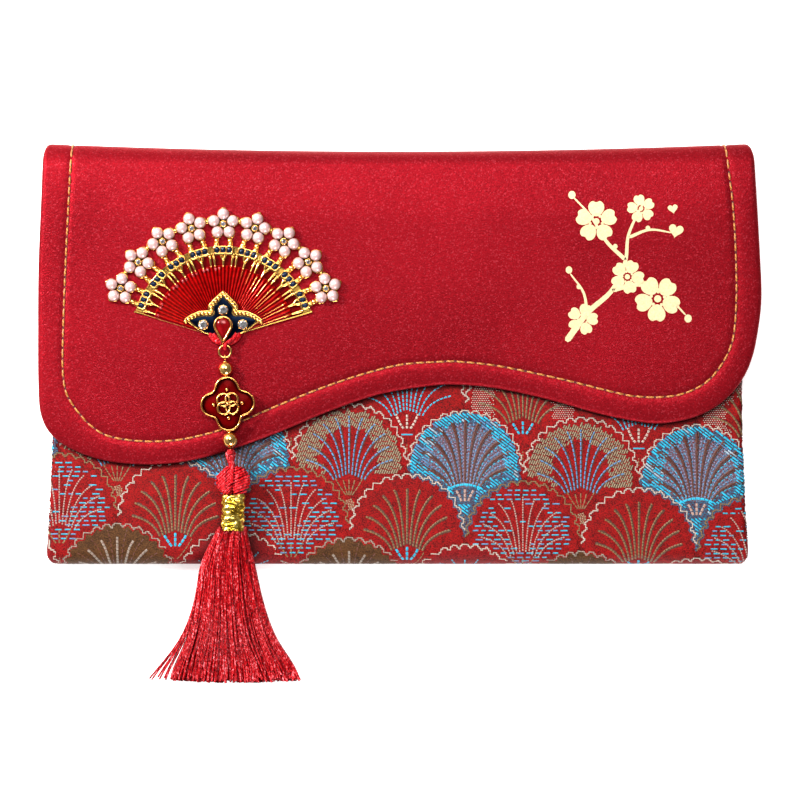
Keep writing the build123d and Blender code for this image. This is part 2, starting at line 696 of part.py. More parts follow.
with BuildPart() as tassel_binding:
    with BuildSketch(Plane(origin=on_tassel(BINDING_D0, z=Z_FLAP + 0.35 + 2.2), x_dir=(1, 0, 0), z_dir=(0, -1, 0))):
        Ellipse(3.15, 2.2)
    extrude(amount=BINDING_D1 - BINDING_D0)
keep(tassel_binding, "tassel_binding")

with BuildPart() as tassel_skirt:
    for d, dx, z, half_w, half_t in SKIRT:
        with BuildSketch(Plane(origin=on_tassel(d, dx, z), x_dir=(1, 0, 0), z_dir=(0, -1, 0))):
            Ellipse(half_w, half_t)
    loft(ruled=True)
keep(tassel_skirt, "tassel_skirt")

print("crease low", CREASE_LOW, "crease high", CREASE_HIGH)
print("ring hinge", RING_TOP, "swing", SWING_AT, "tassel pivot", tuple(PIVOT))
print("levels: pocket", Z_POCKET_LOW, Z_POCKET_HIGH, "front", Z_FRONT, "flap", Z_FLAP, "fold y", FOLD_Y)
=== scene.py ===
"""Looks of the gift envelope: satin flap, brocade pouch, fan brooch, drop and tassel.

Lengths are written in millimetres and turned into metres when a mesh is made.
+X runs along the width, +Y towards the top fold, +Z out of the front.
"""

import bpy
import math
import random
import numpy as np
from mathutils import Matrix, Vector
from mathutils.geometry import delaunay_2d_cdt


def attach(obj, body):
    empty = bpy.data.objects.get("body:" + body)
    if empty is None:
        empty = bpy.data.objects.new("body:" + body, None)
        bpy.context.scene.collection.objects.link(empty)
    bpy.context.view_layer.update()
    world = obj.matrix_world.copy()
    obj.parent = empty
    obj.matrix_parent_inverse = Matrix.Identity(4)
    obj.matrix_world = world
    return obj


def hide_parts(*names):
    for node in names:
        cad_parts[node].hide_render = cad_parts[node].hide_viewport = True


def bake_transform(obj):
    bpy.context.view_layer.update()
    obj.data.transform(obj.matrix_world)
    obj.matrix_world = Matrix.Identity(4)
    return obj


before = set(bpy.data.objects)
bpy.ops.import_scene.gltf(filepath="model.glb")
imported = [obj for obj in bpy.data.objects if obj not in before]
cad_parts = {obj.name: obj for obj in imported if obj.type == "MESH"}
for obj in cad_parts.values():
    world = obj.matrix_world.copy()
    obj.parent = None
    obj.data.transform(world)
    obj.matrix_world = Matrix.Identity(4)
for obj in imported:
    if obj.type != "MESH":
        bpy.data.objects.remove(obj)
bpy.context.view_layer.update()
scene = bpy.context.scene
MM = 0.001
rnd = random.Random(11)
TAU = 2 * math.pi

# ------------------------------------------------------------------ sizes shared with the frame
FOLD_Y, FOLD_R = 49.85, 5.35
Z_FLAP = 10.7
Z_FRONT = 7.75
BODY_BOTTOM_Y = -51.4
MOUTH_Y = 40.0
FAN = np.array([-45.9, 4.5])
Z_PLATE, Z_LEAF, Z_RIB = 10.7, 11.3, 11.8
Z_DROP = 12.9
RING = np.array([-45.4, 0.9])
PIVOT = np.array([-43.898, -25.254])

FLAP_EDGE = [
    (-93.8, FOLD_Y), (-94.1, 40.9), (-94.8, 22.4), (-94.9, 4.0), (-94.8, -7.9),
    (-94.1, -15.8), (-91.0, -21.4), (-84.4, -25.6), (-75.9, -28.1), (-65.3, -28.9),
    (-54.8, -27.9), (-44.2, -25.1), (-31.0, -20.3), (-17.8, -14.8), (-4.6, -10.4),
    (8.6, -8.2), (16.5, -7.9), (27.1, -9.0), (40.3, -11.9), (53.5, -15.6),
    (64.0, -17.7), (70.6, -18.0), (78.5, -16.4), (85.1, -12.9), (90.4, -7.4),
    (93.6, -0.8), (95.4, 7.9), (96.1, 15.8), (95.7, 26.4), (94.9, 40.9),
    (94.4, FOLD_Y),
]
STITCH_LINE = [
    (-86.3, FOLD_Y), (-87.0, 35.0), (-87.8, 18.0), (-88.3, 1.3), (-88.2, -5.3),
    (-87.4, -9.8), (-85.6, -13.2), (-82.6, -17.0), (-79.9, -19.4), (-76.7, -21.2),
    (-71.8, -22.3), (-65.3, -22.8), (-58.0, -22.4), (-51.0, -21.0), (-46.0, -19.5),
    (-38.9, -16.5), (-31.0, -13.1), (-20.5, -8.9), (-9.9, -5.3), (0.7, -2.6),
    (11.2, -1.8), (16.5, -1.8), (27.1, -3.0), (42.9, -6.3), (58.7, -10.2),
    (64.0, -11.0), (69.3, -11.1), (74.6, -10.4), (79.9, -8.2), (83.8, -4.8),
    (87.3, 0.8), (88.9, 7.0), (89.4, 19.3), (88.7, 36.5), (87.3, FOLD_Y),
]
STITCH_PITCH = 3.15
EDGE_Z = 9.40


# ================================================================== mesh tools
class Acc:
    """Collects vertices and faces, in millimetres, and makes one object of them."""

    def __init__(self):
        self.v, self.f, self.m, self.n = [], [], [], 0

    def add(self, verts, faces, mat=0):
        verts = np.asarray(verts, float).reshape(-1, 3)
        self.v.append(verts)
        if isinstance(faces, np.ndarray):
            self.f.extend((faces + self.n).tolist())
        else:
            n = self.n
            self.f.extend([tuple(i + n for i in f) for f in faces])
        self.m.extend([mat] * len(faces))
        self.n += len(verts)
        return self

    def obj(self, name, mats, body, slot=None, smooth=True, replaces=()):
        if not isinstance(mats, (list, tuple)):
            mats = [mats]
        me = bpy.data.meshes.new(name)
        me.from_pydata((np.concatenate(self.v) * MM).tolist(), [], self.f)
        for m in mats:
            me.materials.append(m)
        me.polygons.foreach_set("material_index", self.m)
        me.polygons.foreach_set("use_smooth", [bool(smooth)] * len(self.f))
        me.update()
        o = bpy.data.objects.new(name, me)
        scene.collection.objects.link(o)
        if body:
            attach(o, body)
        if replaces:
            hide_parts(*replaces)
        return o


def grid_faces(nu, nv, wrap_u=False, wrap_v=False, flip=False):
    """Quads of an nu x nv grid of vertices, v running fastest."""
    iu = np.arange(nu if wrap_u else nu - 1)
    iv = np.arange(nv if wrap_v else nv - 1)
    a, b = np.meshgrid(iu, iv, indexing="ij")
    a, b = a.ravel(), b.ravel()
    a2, b2 = (a + 1) % nu, (b + 1) % nv
    q = np.stack([a * nv + b, a2 * nv + b, a2 * nv + b2, a * nv + b2], 1)
    return q[:, ::-1].copy() if flip else q


def catmull(points, per=16, closed=False):
    """A smooth line through the points."""
    p = np.asarray(points, float)
    n = len(p)
    out = []
    count = n if closed else n - 1
    for i in range(count):
        if closed:
            p0, p1, p2, p3 = p[(i - 1) % n], p[i], p[(i + 1) % n], p[(i + 2) % n]
        else:
            p1, p2 = p[i], p[i + 1]
            p0 = p[i - 1] if i else 2 * p1 - p2
            p3 = p[i + 2] if i + 2 < n else 2 * p2 - p1
        t = np.linspace(0, 1, per, endpoint=False)[:, None]
        out.append(0.5 * (2 * p1 + (p2 - p0) * t + (2 * p0 - 5 * p1 + 4 * p2 - p3) * t**2 + (3 * p1 - p0 - 3 * p2 + p3) * t**3))
    if not closed:
        out.append(p[-1:])
    return np.concatenate(out)


def resample(line, n=None, step=None):
    """The line at an even spacing."""
    line = np.asarray(line, float)
    seg = np.linalg.norm(np.diff(line, axis=0), axis=1)
    s = np.concatenate([[0], np.cumsum(seg)])
    if n is None:
        n = max(2, int(round(s[-1] / step)) + 1)
    t = np.linspace(0, s[-1], n)
    return np.stack([np.interp(t, s, line[:, k]) for k in range(line.shape[1])], 1)


def normals2d(line, closed=False):
    """Unit normals to the left of a 2-D line."""
    line = np.asarray(line, float)
    if closed:
        d = np.roll(line, -1, 0) - np.roll(line, 1, 0)
    else:
        d = np.gradient(line, axis=0)
    d /= np.linalg.norm(d, axis=1)[:, None] + 1e-12
    return np.stack([-d[:, 1], d[:, 0]], 1)


def line_distance(pts, line):
    """Distance to a polyline, place along it, and which side (positive is left)."""
    pts, line = np.asarray(pts, float), np.asarray(line, float)
    a, b = line[:-1], line[1:]
    ab = b - a
    l2 = (ab**2).sum(1) + 1e-12
    run = np.concatenate([[0], np.cumsum(np.sqrt(l2))])
    dist, place, side = np.empty(len(pts)), np.empty(len(pts)), np.empty(len(pts))
    for i in range(0, len(pts), 3000):
        p = pts[i : i + 3000]
        ap = p[:, None, :] - a[None]
        t = np.clip((ap * ab[None]).sum(2) / l2[None], 0, 1)
        d2 = ((ap - t[..., None] * ab[None]) ** 2).sum(2)
        k = d2.argmin(1)
        r = np.arange(len(p))
        dist[i : i + 3000] = np.sqrt(d2[r, k])
        place[i : i + 3000] = run[k] + t[r, k] * np.sqrt(l2[k])
        side[i : i + 3000] = np.sign(ab[k, 0] * ap[r, k, 1] - ab[k, 1] * ap[r, k, 0])
    return dist, place, side


def inside(pts, poly):
    """Which points lie inside a closed polygon."""
    pts, poly = np.asarray(pts, float), np.asarray(poly, float)
    x, y = pts[:, 0], pts[:, 1]
    hit = np.zeros(len(pts), bool)
    j = len(poly) - 1
    for i in range(len(poly)):
        xi, yi, xj, yj = *poly[i], *poly[j]
        cross = ((yi > y) != (yj > y)) & (x < (xj - xi) * (y - yi) / (yj - yi + 1e-15) + xi)
        hit ^= cross
        j = i
    return hit


def fill_region(boundary, extra=()):
    """Triangles that fill a closed outline, using extra points inside it."""
    pts = [Vector(p) for p in np.asarray(boundary, float)[:, :2]]
    nb = len(pts)
    if len(extra):
        pts += [Vector(p) for p in np.asarray(extra, float)]
    v, _, f, *_ = delaunay_2d_cdt(pts, [], [list(range(nb))], 1, 1e-6)
    xy = np.array([(p[0], p[1]) for p in v])
    tri = np.array([list(t) for t in f if len(t) == 3], int)
    a, b, c = xy[tri[:, 0]], xy[tri[:, 1]], xy[tri[:, 2]]
    area = (b[:, 0] - a[:, 0]) * (c[:, 1] - a[:, 1]) - (b[:, 1] - a[:, 1]) * (c[:, 0] - a[:, 0])
    tri[area < 0] = tri[area < 0][:, ::-1]
    return xy, tri


def hex_points(x0, x1, y0, y1, step):
    """Points in staggered rows."""
    rows = []
    for k, y in enumerate(np.arange(y0, y1, step * 0.866)):
        x = np.arange(x0 + (step / 2 if k % 2 else 0), x1, step)
        rows.append(np.stack([x, np.full(len(x), y)], 1))
    return np.concatenate(rows) if rows else np.zeros((0, 2))


def tube(path, radius, sides=8, caps=True, closed=False, flat=1.0, up=(0, 0, 1)):
    """A round tube along a 3-D path; flat squeezes it along its second normal."""
    p = np.asarray(path, float)
    n = len(p)
    r = np.broadcast_to(np.asarray(radius, float), (n,))
    if closed:
        t = np.roll(p, -1, 0) - np.roll(p, 1, 0)
    else:
        t = np.gradient(p, axis=0)
    t /= np.linalg.norm(t, axis=1)[:, None] + 1e-12
    nrm = np.zeros_like(p)
    u = np.asarray(up, float)
    if abs(u @ t[0]) > 0.95:
        u = np.array([1.0, 0, 0]) if abs(t[0][0]) < 0.9 else np.array([0, 1.0, 0])
    prev = u
    for i in range(n):
        q = prev - t[i] * (prev @ t[i])
        q /= np.linalg.norm(q) + 1e-12
        nrm[i] = q
        prev = q
    bi = np.cross(t, nrm)
    a = np.arange(sides) / sides * TAU
    v = p[:, None] + r[:, None, None] * (np.cos(a)[None, :, None] * bi[:, None] + flat * np.sin(a)[None, :, None] * nrm[:, None])
    f = grid_faces(n, sides, wrap_u=closed, wrap_v=True, flip=True).tolist()
    if caps and not closed:
        f.append(list(range(sides)))
        f.append(list(range((n - 1) * sides, n * sides))[::-1])
    return v.reshape(-1, 3), f


_unit_balls = {}


def ball(centre, r, nu=12, nv=8, scale=(1, 1, 1)):
    """A round ball."""
    if (nu, nv) not in _unit_balls:
        th = np.linspace(0, math.pi, nv + 1)[1:-1]
        ph = np.arange(nu) / nu * TAU
        ring = np.stack([np.sin(th)[:, None] * np.cos(ph), np.sin(th)[:, None] * np.sin(ph), np.broadcast_to(np.cos(th)[:, None], (nv - 1, nu))], 2).reshape(-1, 3)
        v = np.concatenate([ring, [[0, 0, 1], [0, 0, -1]]])
        f = grid_faces(nv - 1, nu, wrap_v=True).tolist()
        top, bot = len(v) - 2, len(v) - 1
        for k in range(nu):
            f.append((top, k, (k + 1) % nu))
            f.append((bot, (nv - 2) * nu + (k + 1) % nu, (nv - 2) * nu + k))
        _unit_balls[(nu, nv)] = (v, f)
    v, f = _unit_balls[(nu, nv)]
    return v * np.asarray(scale) * r + np.asarray(centre), f


def lathe(profile, n, centre, axis="z"):
    """A turned shape: profile is (radius, height) from bottom to top."""
    pr = np.asarray(profile, float)
    a = np.arange(n) / n * TAU
    x = pr[:, 0][:, None] * np.cos(a)
    y = pr[:, 0][:, None] * np.sin(a)
    z = np.broadcast_to(pr[:, 1][:, None], x.shape)
    v = np.stack([x, y, z], 2).reshape(-1, 3)
    if axis == "y":
        v = v[:, [0, 2, 1]] * np.array([1, 1, -1])
    f = grid_faces(len(pr), n, wrap_v=True).tolist()
    return v + np.asarray(centre), f


def torus(centre, big, small, nu=32, nv=10, plane="xy", arc=(0, TAU)):
    """A ring, or part of one."""
    full = abs(arc[1] - arc[0] - TAU) < 1e-6
    a = np.linspace(arc[0], arc[1], nu, endpoint=not full)
    c, s, o = np.cos(a), np.sin(a), np.zeros(nu)
    path = {"xy": (c, s, o), "yz": (o, c, s), "xz": (c, o, s)}[plane]
    return tube(np.stack(path, 1) * big + np.asarray(centre), small, nv, closed=full, up={"xy": (0, 0, 1), "yz": (1, 0, 0), "xz": (0, 1, 0)}[plane])


def slab(outline, z0, z1, bevel=0.1):
    """A flat plate of any outline with softened upper edges."""
    p = np.asarray(outline, float)
    area = 0.5 * np.sum(p[:, 0] * np.roll(p[:, 1], -1) - np.roll(p[:, 0], -1) * p[:, 1])
    if area < 0:
        p = p[::-1]
    nrm = normals2d(p, True)
    n = len(p)
    levels = [(0, z0), (0, z1 - bevel), (bevel * 0.3, z1 - bevel * 0.3), (bevel, z1)]
    rings = [np.column_stack([p + nrm * d, np.full(n, z)]) for d, z in levels]
    v = np.concatenate(rings)
    f = grid_faces(len(levels), n, wrap_v=True, flip=True).tolist()
    xy, tri = fill_region(rings[-1])
    base = len(v)
    v = np.concatenate([v, np.column_stack([xy, np.full(len(xy), z1)]), np.column_stack([xy, np.full(len(xy), z0)])])
    f += (tri + base).tolist() + (tri[:, ::-1] + base + len(xy)).tolist()
    return v, f


def polar(r, deg, centre=FAN):
    a = np.radians(deg)
    return np.stack([centre[0] + r * np.cos(a), centre[1] + r * np.sin(a)], -1)


def smooth01(t):
    t = np.clip(t, 0, 1)
    return t * t * (3 - 2 * t)


def on_plane(xy, z):
    xy = np.asarray(xy, float)
    return np.column_stack([xy, np.broadcast_to(z, (len(xy),))])


# ================================================================== materials
class Mat:
    """A material with a small set of node helpers. Coordinates are the object's own, in millimetres."""

    def __init__(self, name, color, rough=0.5, metal=0.0, **sockets):
        self.m = bpy.data.materials.new(name)
        self.m.use_nodes = True
        self.nt = self.m.node_tree
        self.b = self.nt.nodes["Principled BSDF"]
        self.b.inputs["Base Color"].default_value = (*color, 1)
        self.b.inputs["Roughness"].default_value = rough
        self.b.inputs["Metallic"].default_value = metal
        for k, v in sockets.items():
            self.b.inputs[k.replace("_", " ")].default_value = v
        self.m.diffuse_color = (*color, 1)
        tc = self.node("ShaderNodeTexCoord")
        sc = self.node("ShaderNodeVectorMath", operation="SCALE")
        sc.inputs["Scale"].default_value = 1000
        self.link(tc.outputs["Object"], sc.inputs[0])
        self.mm = sc.outputs[0]
        self._bump = None

    def node(self, kind, **props):
        n = self.nt.nodes.new(kind)
        for k, v in props.items():
            setattr(n, k, v)
        return n

    def link(self, a, b):
        self.nt.links.new(a, b)

    def put(self, socket, value):
        if hasattr(value, "links") or hasattr(value, "is_linked"):
            self.link(value, socket)
        else:
            socket.default_value = value

    def stretch(self, scale, rot=(0, 0, 0)):
        n = self.node("ShaderNodeMapping")
        n.inputs["Scale"].default_value = scale
        n.inputs["Rotation"].default_value = rot
        self.link(self.mm, n.inputs[0])
        return n.outputs[0]

    def noise(self, size, detail=3, rough=0.55, vec=None, distort=0.0):
        n = self.node("ShaderNodeTexNoise")
        n.inputs["Scale"].default_value = 1.0 / size
        n.inputs["Detail"].default_value = detail
        n.inputs["Roughness"].default_value = rough
        n.inputs["Distortion"].default_value = distort
        self.link(vec or self.mm, n.inputs["Vector"])
        return n.outputs["Fac"]

    def cells(self, size, vec=None, feature="F1", out="Color"):
        n = self.node("ShaderNodeTexVoronoi", feature=feature)
        n.inputs["Scale"].default_value = 1.0 / size
        self.link(vec or self.mm, n.inputs["Vector"])
        return n.outputs[out]

    def wave(self, size, direction="X", vec=None, distort=0.0, kind="BANDS"):
        n = self.node("ShaderNodeTexWave", wave_type=kind, bands_direction=direction)
        n.inputs["Scale"].default_value = math.pi / 10 / size
        n.inputs["Distortion"].default_value = distort
        self.link(vec or self.mm, n.inputs["Vector"])
        return n.outputs["Fac"]

    def math(self, op, a, b=0.0, c=None, clamp=False):
        n = self.node("ShaderNodeMath", operation=op, use_clamp=clamp)
        self.put(n.inputs[0], a)
        self.put(n.inputs[1], b)
        if c is not None:
            self.put(n.inputs[2], c)
        return n.outputs[0]

    def ramp(self, fac, *stops):
        n = self.node("ShaderNodeValToRGB")
        e = n.color_ramp.elements
        while len(e) < len(stops):
            e.new(0.5)
        for el, (pos, col) in zip(e, stops):
            el.position = pos
            el.color = (*col, 1) if len(col) == 3 else col
        self.link(fac, n.inputs[0])
        return n.outputs[0]

    def range(self, fac, lo, hi, a=0.0, b=1.0):
        n = self.node("ShaderNodeMapRange")
        self.link(fac, n.inputs[0])
        for i, v in zip((1, 2, 3, 4), (a, b, lo, hi)):
            n.inputs[i].default_value = v
        return n.outputs[0]

    def mix(self, fac, a, b, kind="MIX"):
        n = self.node("ShaderNodeMix", data_type="RGBA", blend_type=kind)
        self.put(n.inputs[0], fac)
        for sock, v in ((n.inputs[6], a), (n.inputs[7], b)):
            if isinstance(v, tuple):
                sock.default_value = (*v, 1) if len(v) == 3 else v
            else:
                self.link(v, sock)
        return n.outputs[2]

    def bump(self, height, depth, strength=1.0):
        n = self.node("ShaderNodeBump")
        n.inputs["Strength"].default_value = strength
        n.inputs["Distance"].default_value = depth * MM
        self.link(height, n.inputs["Height"])
        if self._bump is not None:
            self.link(self._bump, n.inputs["Normal"])
        self._bump = n.outputs[0]
        self.link(self._bump, self.b.inputs["Normal"])
        return self

    def color(self, sock):
        self.link(sock, self.b.inputs["Base Color"])
        return self

    def rough(self, sock):
        self.link(sock, self.b.inputs["Roughness"])
        return self

    def crevice(self, distance, dark, gain=1.0):
        """How closed in a place is: 1 in a crevice, 0 in the open."""
        n = self.node("ShaderNodeAmbientOcclusion", samples=8)
        n.inputs["Distance"].default_value = distance * MM
        return self.range(n.outputs["AO"], 1.0, 0.0, dark, gain)


def satin_material(name, deep, bright, size=1.0):
    """Shimmering satin: fine grain, painted glints (small grains painted lighter, standing in for light catching the
    satin) and a broad red gloss.
    """
    k = Mat(name, bright, 0.42, 0.38, Specular_IOR_Level=0.15)
    k.b.inputs["Specular Tint"].default_value = (1.0, 0.055, 0.090, 1)
    broad = k.noise(34, 3, 0.5)
    grain = k.node("ShaderNodeSeparateColor")
    k.link(k.cells(0.30 * size), grain.inputs[0])
    fine = k.noise(0.40 * size, 2, 0.6)
    warp = k.noise(1, 2, 0.5, k.stretch((0.9, 3.2, 1), (0, 0, 0.6)))
    tone = k.math("ADD", k.math("MULTIPLY", broad, 0.30), k.math("ADD", k.math("MULTIPLY", warp, 0.25), k.math("MULTIPLY", fine, 0.45)))
    col = k.ramp(tone, (0.36, deep), (0.64, bright))
    # painted highlight: small cells are painted a lighter red, standing in for glints of light on the satin
    painted_glint = k.range(grain.outputs[0], 0.0, 0.50, 0.82, 1.0)
    painted_glint_colour = (min(1.0, bright[0] * 1.55), bright[1] * 1.5 + 0.020, bright[2] * 1.5 + 0.026)
    k.color(k.mix(painted_glint, col, painted_glint_colour))
    k.rough(k.range(grain.outputs[1], 0.28, 0.44))
    k.bump(k.math("ADD", fine, k.math("MULTIPLY", warp, 0.10)), 0.12, 0.9)
    return k.m


RED_DEEP, RED_BRIGHT = (0.116, 0.0027, 0.0051), (0.213, 0.0050, 0.0094)
satin = satin_material("red_satin", RED_DEEP, RED_BRIGHT)
satin_back = satin_material("red_satin_back", (0.195, 0.0048, 0.0092), (0.300, 0.0082, 0.0145))


def lining_material():
    k = Mat("lining_satin", (0.27, 0.006, 0.010), 0.45, Specular_IOR_Level=0.35)
    k.b.inputs["Specular Tint"].default_value = (1.0, 0.22, 0.26, 1)
    rib = k.wave(0.32, "DIAGONAL", distort=0.6)
    t = k.math("ADD", k.math("MULTIPLY", rib, 0.4), k.math("MULTIPLY", k.noise(6, 3), 0.6))
    k.color(k.ramp(t, (0.2, (0.19, 0.004, 0.007)), (0.8, (0.33, 0.008, 0.013))))
    k.rough(k.range(k.noise(0.5), 0.36, 0.55))
    k.bump(rib, 0.03, 0.6)
    return k.m


lining = lining_material()


def gold_material(name, base, dark, rough=(0.07, 0.20), dent=0.03, dent_size=0.9, crevice_shade_weight=0.6):
    """Cast and plated gold: small dents, uneven polish, and painted shade that darkens it in its crevices."""
    k = Mat(name, base, sum(rough) / 2, 1.0)
    cast = k.noise(dent_size, 3, 0.6)
    # painted shade: the colour goes towards the dark colour wherever the crevice term finds a closed-in place
    crevice_shade = k.crevice(0.9, 0.30, 0.90)
    worn = k.mix(k.range(k.noise(3.0), 0.0, 0.35), base, tuple(min(1.0, c * 1.10 + 0.02) for c in base))
    k.color(k.mix(k.math("MULTIPLY", crevice_shade, crevice_shade_weight), worn, dark))
    k.rough(k.range(cast, rough[0], rough[1], 0.3, 0.7))
    k.bump(cast, dent, 0.7)
    return k.m


gold = gold_material("gold_casting", (1.0, 0.57, 0.15), (0.20, 0.058, 0.006), crevice_shade_weight=0.85)
# a darker copy of the gold for the back plate, joint ribs and straight edges that sit lower: painted shade
gold_painted_shade = gold_material("gold_painted_shade", (0.46, 0.27, 0.055), (0.09, 0.045, 0.008), (0.22, 0.40))
gold_bead = gold_material("gold_bead", (0.92, 0.52, 0.15), (0.25, 0.08, 0.015), (0.10, 0.20), 0.02, 1.6)
gold_rim = gold_material("gold_rim", (0.82, 0.37, 0.095), (0.26, 0.07, 0.012), (0.12, 0.24), 0.006, 1.6, 0.6)


def thread_material(name, deep, bright, twist=0.55, rough=0.45, sheen=0.4, metal=0.0):
    """Twisted sewing thread."""
    k = Mat(name, bright, rough, metal, Sheen_Weight=sheen)
    ply = k.wave(twist, "DIAGONAL", distort=1.2)
    fuzz = k.noise(0.25, 2)
    k.color(k.ramp(k.math("ADD", k.math("MULTIPLY", ply, 0.55), k.math("MULTIPLY", fuzz, 0.45)), (0.2, deep), (0.75, bright)))
    k.rough(k.range(fuzz, rough - 0.1, rough + 0.12))
    k.bump(ply, 0.06, 0.8)
    return k.m


gold_thread = thread_material("gold_thread", (0.24, 0.066, 0.007), (0.49, 0.195, 0.028), 0.55, 0.42, 0.1)


# painted shade: the dimples where the thread goes through the satin are coloured near-black red
def hole_shade_material():
    k = Mat("needle_hole_shade", (0.05, 0.001, 0.003), 0.8)
    k.color(k.ramp(k.noise(0.2), (0.3, (0.03, 0.0005, 0.001)), (0.7, (0.09, 0.002, 0.005))))
    return k.m


needle_hole_shade = hole_shade_material()


def brocade_material(name, deep, bright, rough=0.6, twill=0.62):
    """Woven ground: slanting twill ribs crossed by finer threads, unevenly dyed."""
    k = Mat(name, bright, rough, Specular_IOR_Level=0.10)
    rib = k.noise(1, 2, 0.7, k.stretch((1.7, 4.6, 2.5), (0, 0, 0.62)))
    cross = k.noise(1, 1, 0.6, k.stretch((4.4, 2.2, 2.5), (0, 0, 0.62)))
    nubs = k.noise(0.30, 2, 0.75)
    patch = k.noise(2.2, 2, 0.6)
    weave = k.math("ADD", k.math("MULTIPLY", rib, 0.40), k.math("ADD", k.math("MULTIPLY", cross, 0.25), k.math("MULTIPLY", nubs, 0.35)))
    t = k.math("ADD", k.math("MULTIPLY", weave, 0.85), k.math("MULTIPLY", patch, 0.15))
    # painted shadow: the cloth is darkened close under the flap's edge and wherever else something stands over it
    shade = k.math("MULTIPLY", k.crevice(4.6, 0.52, 0.88), 0.90)
    k.color(k.mix(shade, k.ramp(t, (0.41, deep), (0.57, bright)), tuple(c * 0.5 for c in deep)))
    k.rough(k.range(nubs, rough - 0.14, rough + 0.12))
    k.bump(weave, 0.20, 0.9)
    return k.m


def mixed_material(name, *stops):
    """Cloth woven of threads of several colours."""
    k = Mat(name, stops[1][1], 0.6, Specular_IOR_Level=0.10)
    dots = k.noise(0.36, 2, 0.8)
    rib = k.noise(1, 1, 0.6, k.stretch((1.4, 5.2, 2.5), (0, 0, 0.62)))
    t = k.math("ADD", k.math("MULTIPLY", dots, 0.6), k.math("MULTIPLY", rib, 0.4))
    # painted shadow: the cloth is darkened close under the flap's edge and wherever else something stands over it
    shade = k.math("MULTIPLY", k.crevice(4.6, 0.52, 0.88), 0.90)
    k.color(k.mix(shade, k.ramp(t, *stops), tuple(c * 0.3 for c in stops[0][1])))
    k.rough(k.range(dots, 0.45, 0.70))
    k.bump(t, 0.20, 0.9)
    return k.m


ground_red = brocade_material("brocade_red", (0.020, 0.0002, 0.0004), (0.264, 0.0030, 0.0031))
ground_turquoise = mixed_material("brocade_turquoise", (0.42, (0.060, 0.008, 0.009)), (0.49, (0.030, 0.030, 0.048)), (0.57, (0.022, 0.100, 0.175)))
ground_heart = mixed_material("brocade_heart", (0.41, (0.090, 0.009, 0.008)), (0.47, (0.100, 0.038, 0.042)), (0.53, (0.060, 0.078, 0.112)), (0.61, (0.045, 0.190, 0.300)))
ground_brown = brocade_material("brocade_brown", (0.014, 0.0045, 0.0015), (0.085, 0.034, 0.010))
ground_dark = brocade_material("brocade_dark_red", (0.050, 0.0012, 0.0016), (0.22, 0.0055, 0.0075))


def float_material(name, color, low=0.42):
    """Pattern threads that float on the ground cloth."""
    k = Mat(name, color, 0.42, Sheen_Weight=0.0, Specular_IOR_Level=0.4)
    n = k.noise(0.42, 2, 0.65)
    # painted shadow: the threads are darkened close under the flap's edge and wherever else something stands over them
    shade = k.math("MULTIPLY", k.crevice(4.6, 0.50, 0.84), 0.90)
    k.color(k.mix(shade, k.ramp(n, (0.32, tuple(c * low for c in color)), (0.66, color)), tuple(c * 0.12 for c in color)))
    k.rough(k.range(n, 0.32, 0.55))
    k.bump(k.math("ADD", k.wave(0.22, "DIAGONAL"), n), 0.05, 0.8)
    return k.m


float_blue = float_material("float_blue", (0.006, 0.340, 0.510), 0.5)
float_cyan = float_material("float_cyan", (0.016, 0.460, 0.700), 0.36)
float_cream = float_material("float_cream", (0.45, 0.360, 0.300), 0.48)
float_khaki = float_material("float_khaki", (0.185, 0.105, 0.038), 0.45)
float_tan = float_material("float_tan", (0.290, 0.225, 0.125), 0.45)
float_grey = float_material("float_grey", (0.270, 0.205, 0.160), 0.45)
float_mauve = float_material("float_mauve", (0.200, 0.165, 0.270), 0.5)
float_dark = float_material("float_dark", (0.105, 0.020, 0.010), 0.5)
# a dark thread used only as painted shadow under the dashes
float_dash_shadow = float_material("float_dash_shadow", (0.030, 0.026, 0.036), 0.4)
float_umber = float_material("float_umber", (0.070, 0.020, 0.010), 0.4)
float_silver = float_material("float_silver", (0.330, 0.430, 0.500), 0.40)
float_steel = float_material("float_steel", (0.075, 0.215, 0.400), 0.5)
float_bark = float_material("float_bark", (0.090, 0.020, 0.012), 0.45)
float_rose = float_material("float_rose", (0.38, 0.235, 0.195), 0.48)


def enamel_material(name, deep, bright, rough=0.10, ripple=0.02, size=1.2, edge=None, tint=None, coat=0.25, painted_groove_shade=None, spec=0.5, reach=0.6):
    k = Mat(name, bright, rough, 0.0, Coat_Weight=coat, Coat_Roughness=0.04, Specular_IOR_Level=spec)
    if tint:
        k.b.inputs["Specular Tint"].default_value = (*tint, 1)
    n = k.noise(size, 3)
    col = k.ramp(n, (0.32, deep), (0.68, bright))
    # painted highlight: a lighter teal is painted along the enamel's edges next to the metal
    if edge:
        col = k.mix(k.crevice(0.32, 0.50, 1.0), col, edge)
    # painted shade: the colour goes towards near-black in grooves and against metal walls, where shade falls
    if painted_groove_shade:
        col = k.mix(k.crevice(reach, 0.42, 0.92), col, painted_groove_shade)
    k.color(col)
    k.rough(k.range(k.noise(0.4), rough * 0.7, rough * 2.0))
    k.bump(k.noise(1.1, 2), ripple, 0.6)
    return k.m


red_enamel = enamel_material("red_enamel", (0.135, 0.0003, 0.0005), (0.32, 0.0008, 0.0012), 0.15, tint=(1.0, 0.07, 0.050), coat=0.0, painted_groove_shade=(0.016, 0.0002, 0.0003), spec=1.0)
red_lip = enamel_material("red_enamel_lip", (0.150, 0.0003, 0.0005), (0.32, 0.0009, 0.0014), 0.20, tint=(1.0, 0.06, 0.05), coat=0.0, painted_groove_shade=(0.018, 0.0002, 0.0004), spec=0.20)
red_tips = enamel_material("red_enamel_tips", (0.20, 0.0006, 0.0012), (0.38, 0.0014, 0.0026), 0.10, coat=0.6, spec=0.9)
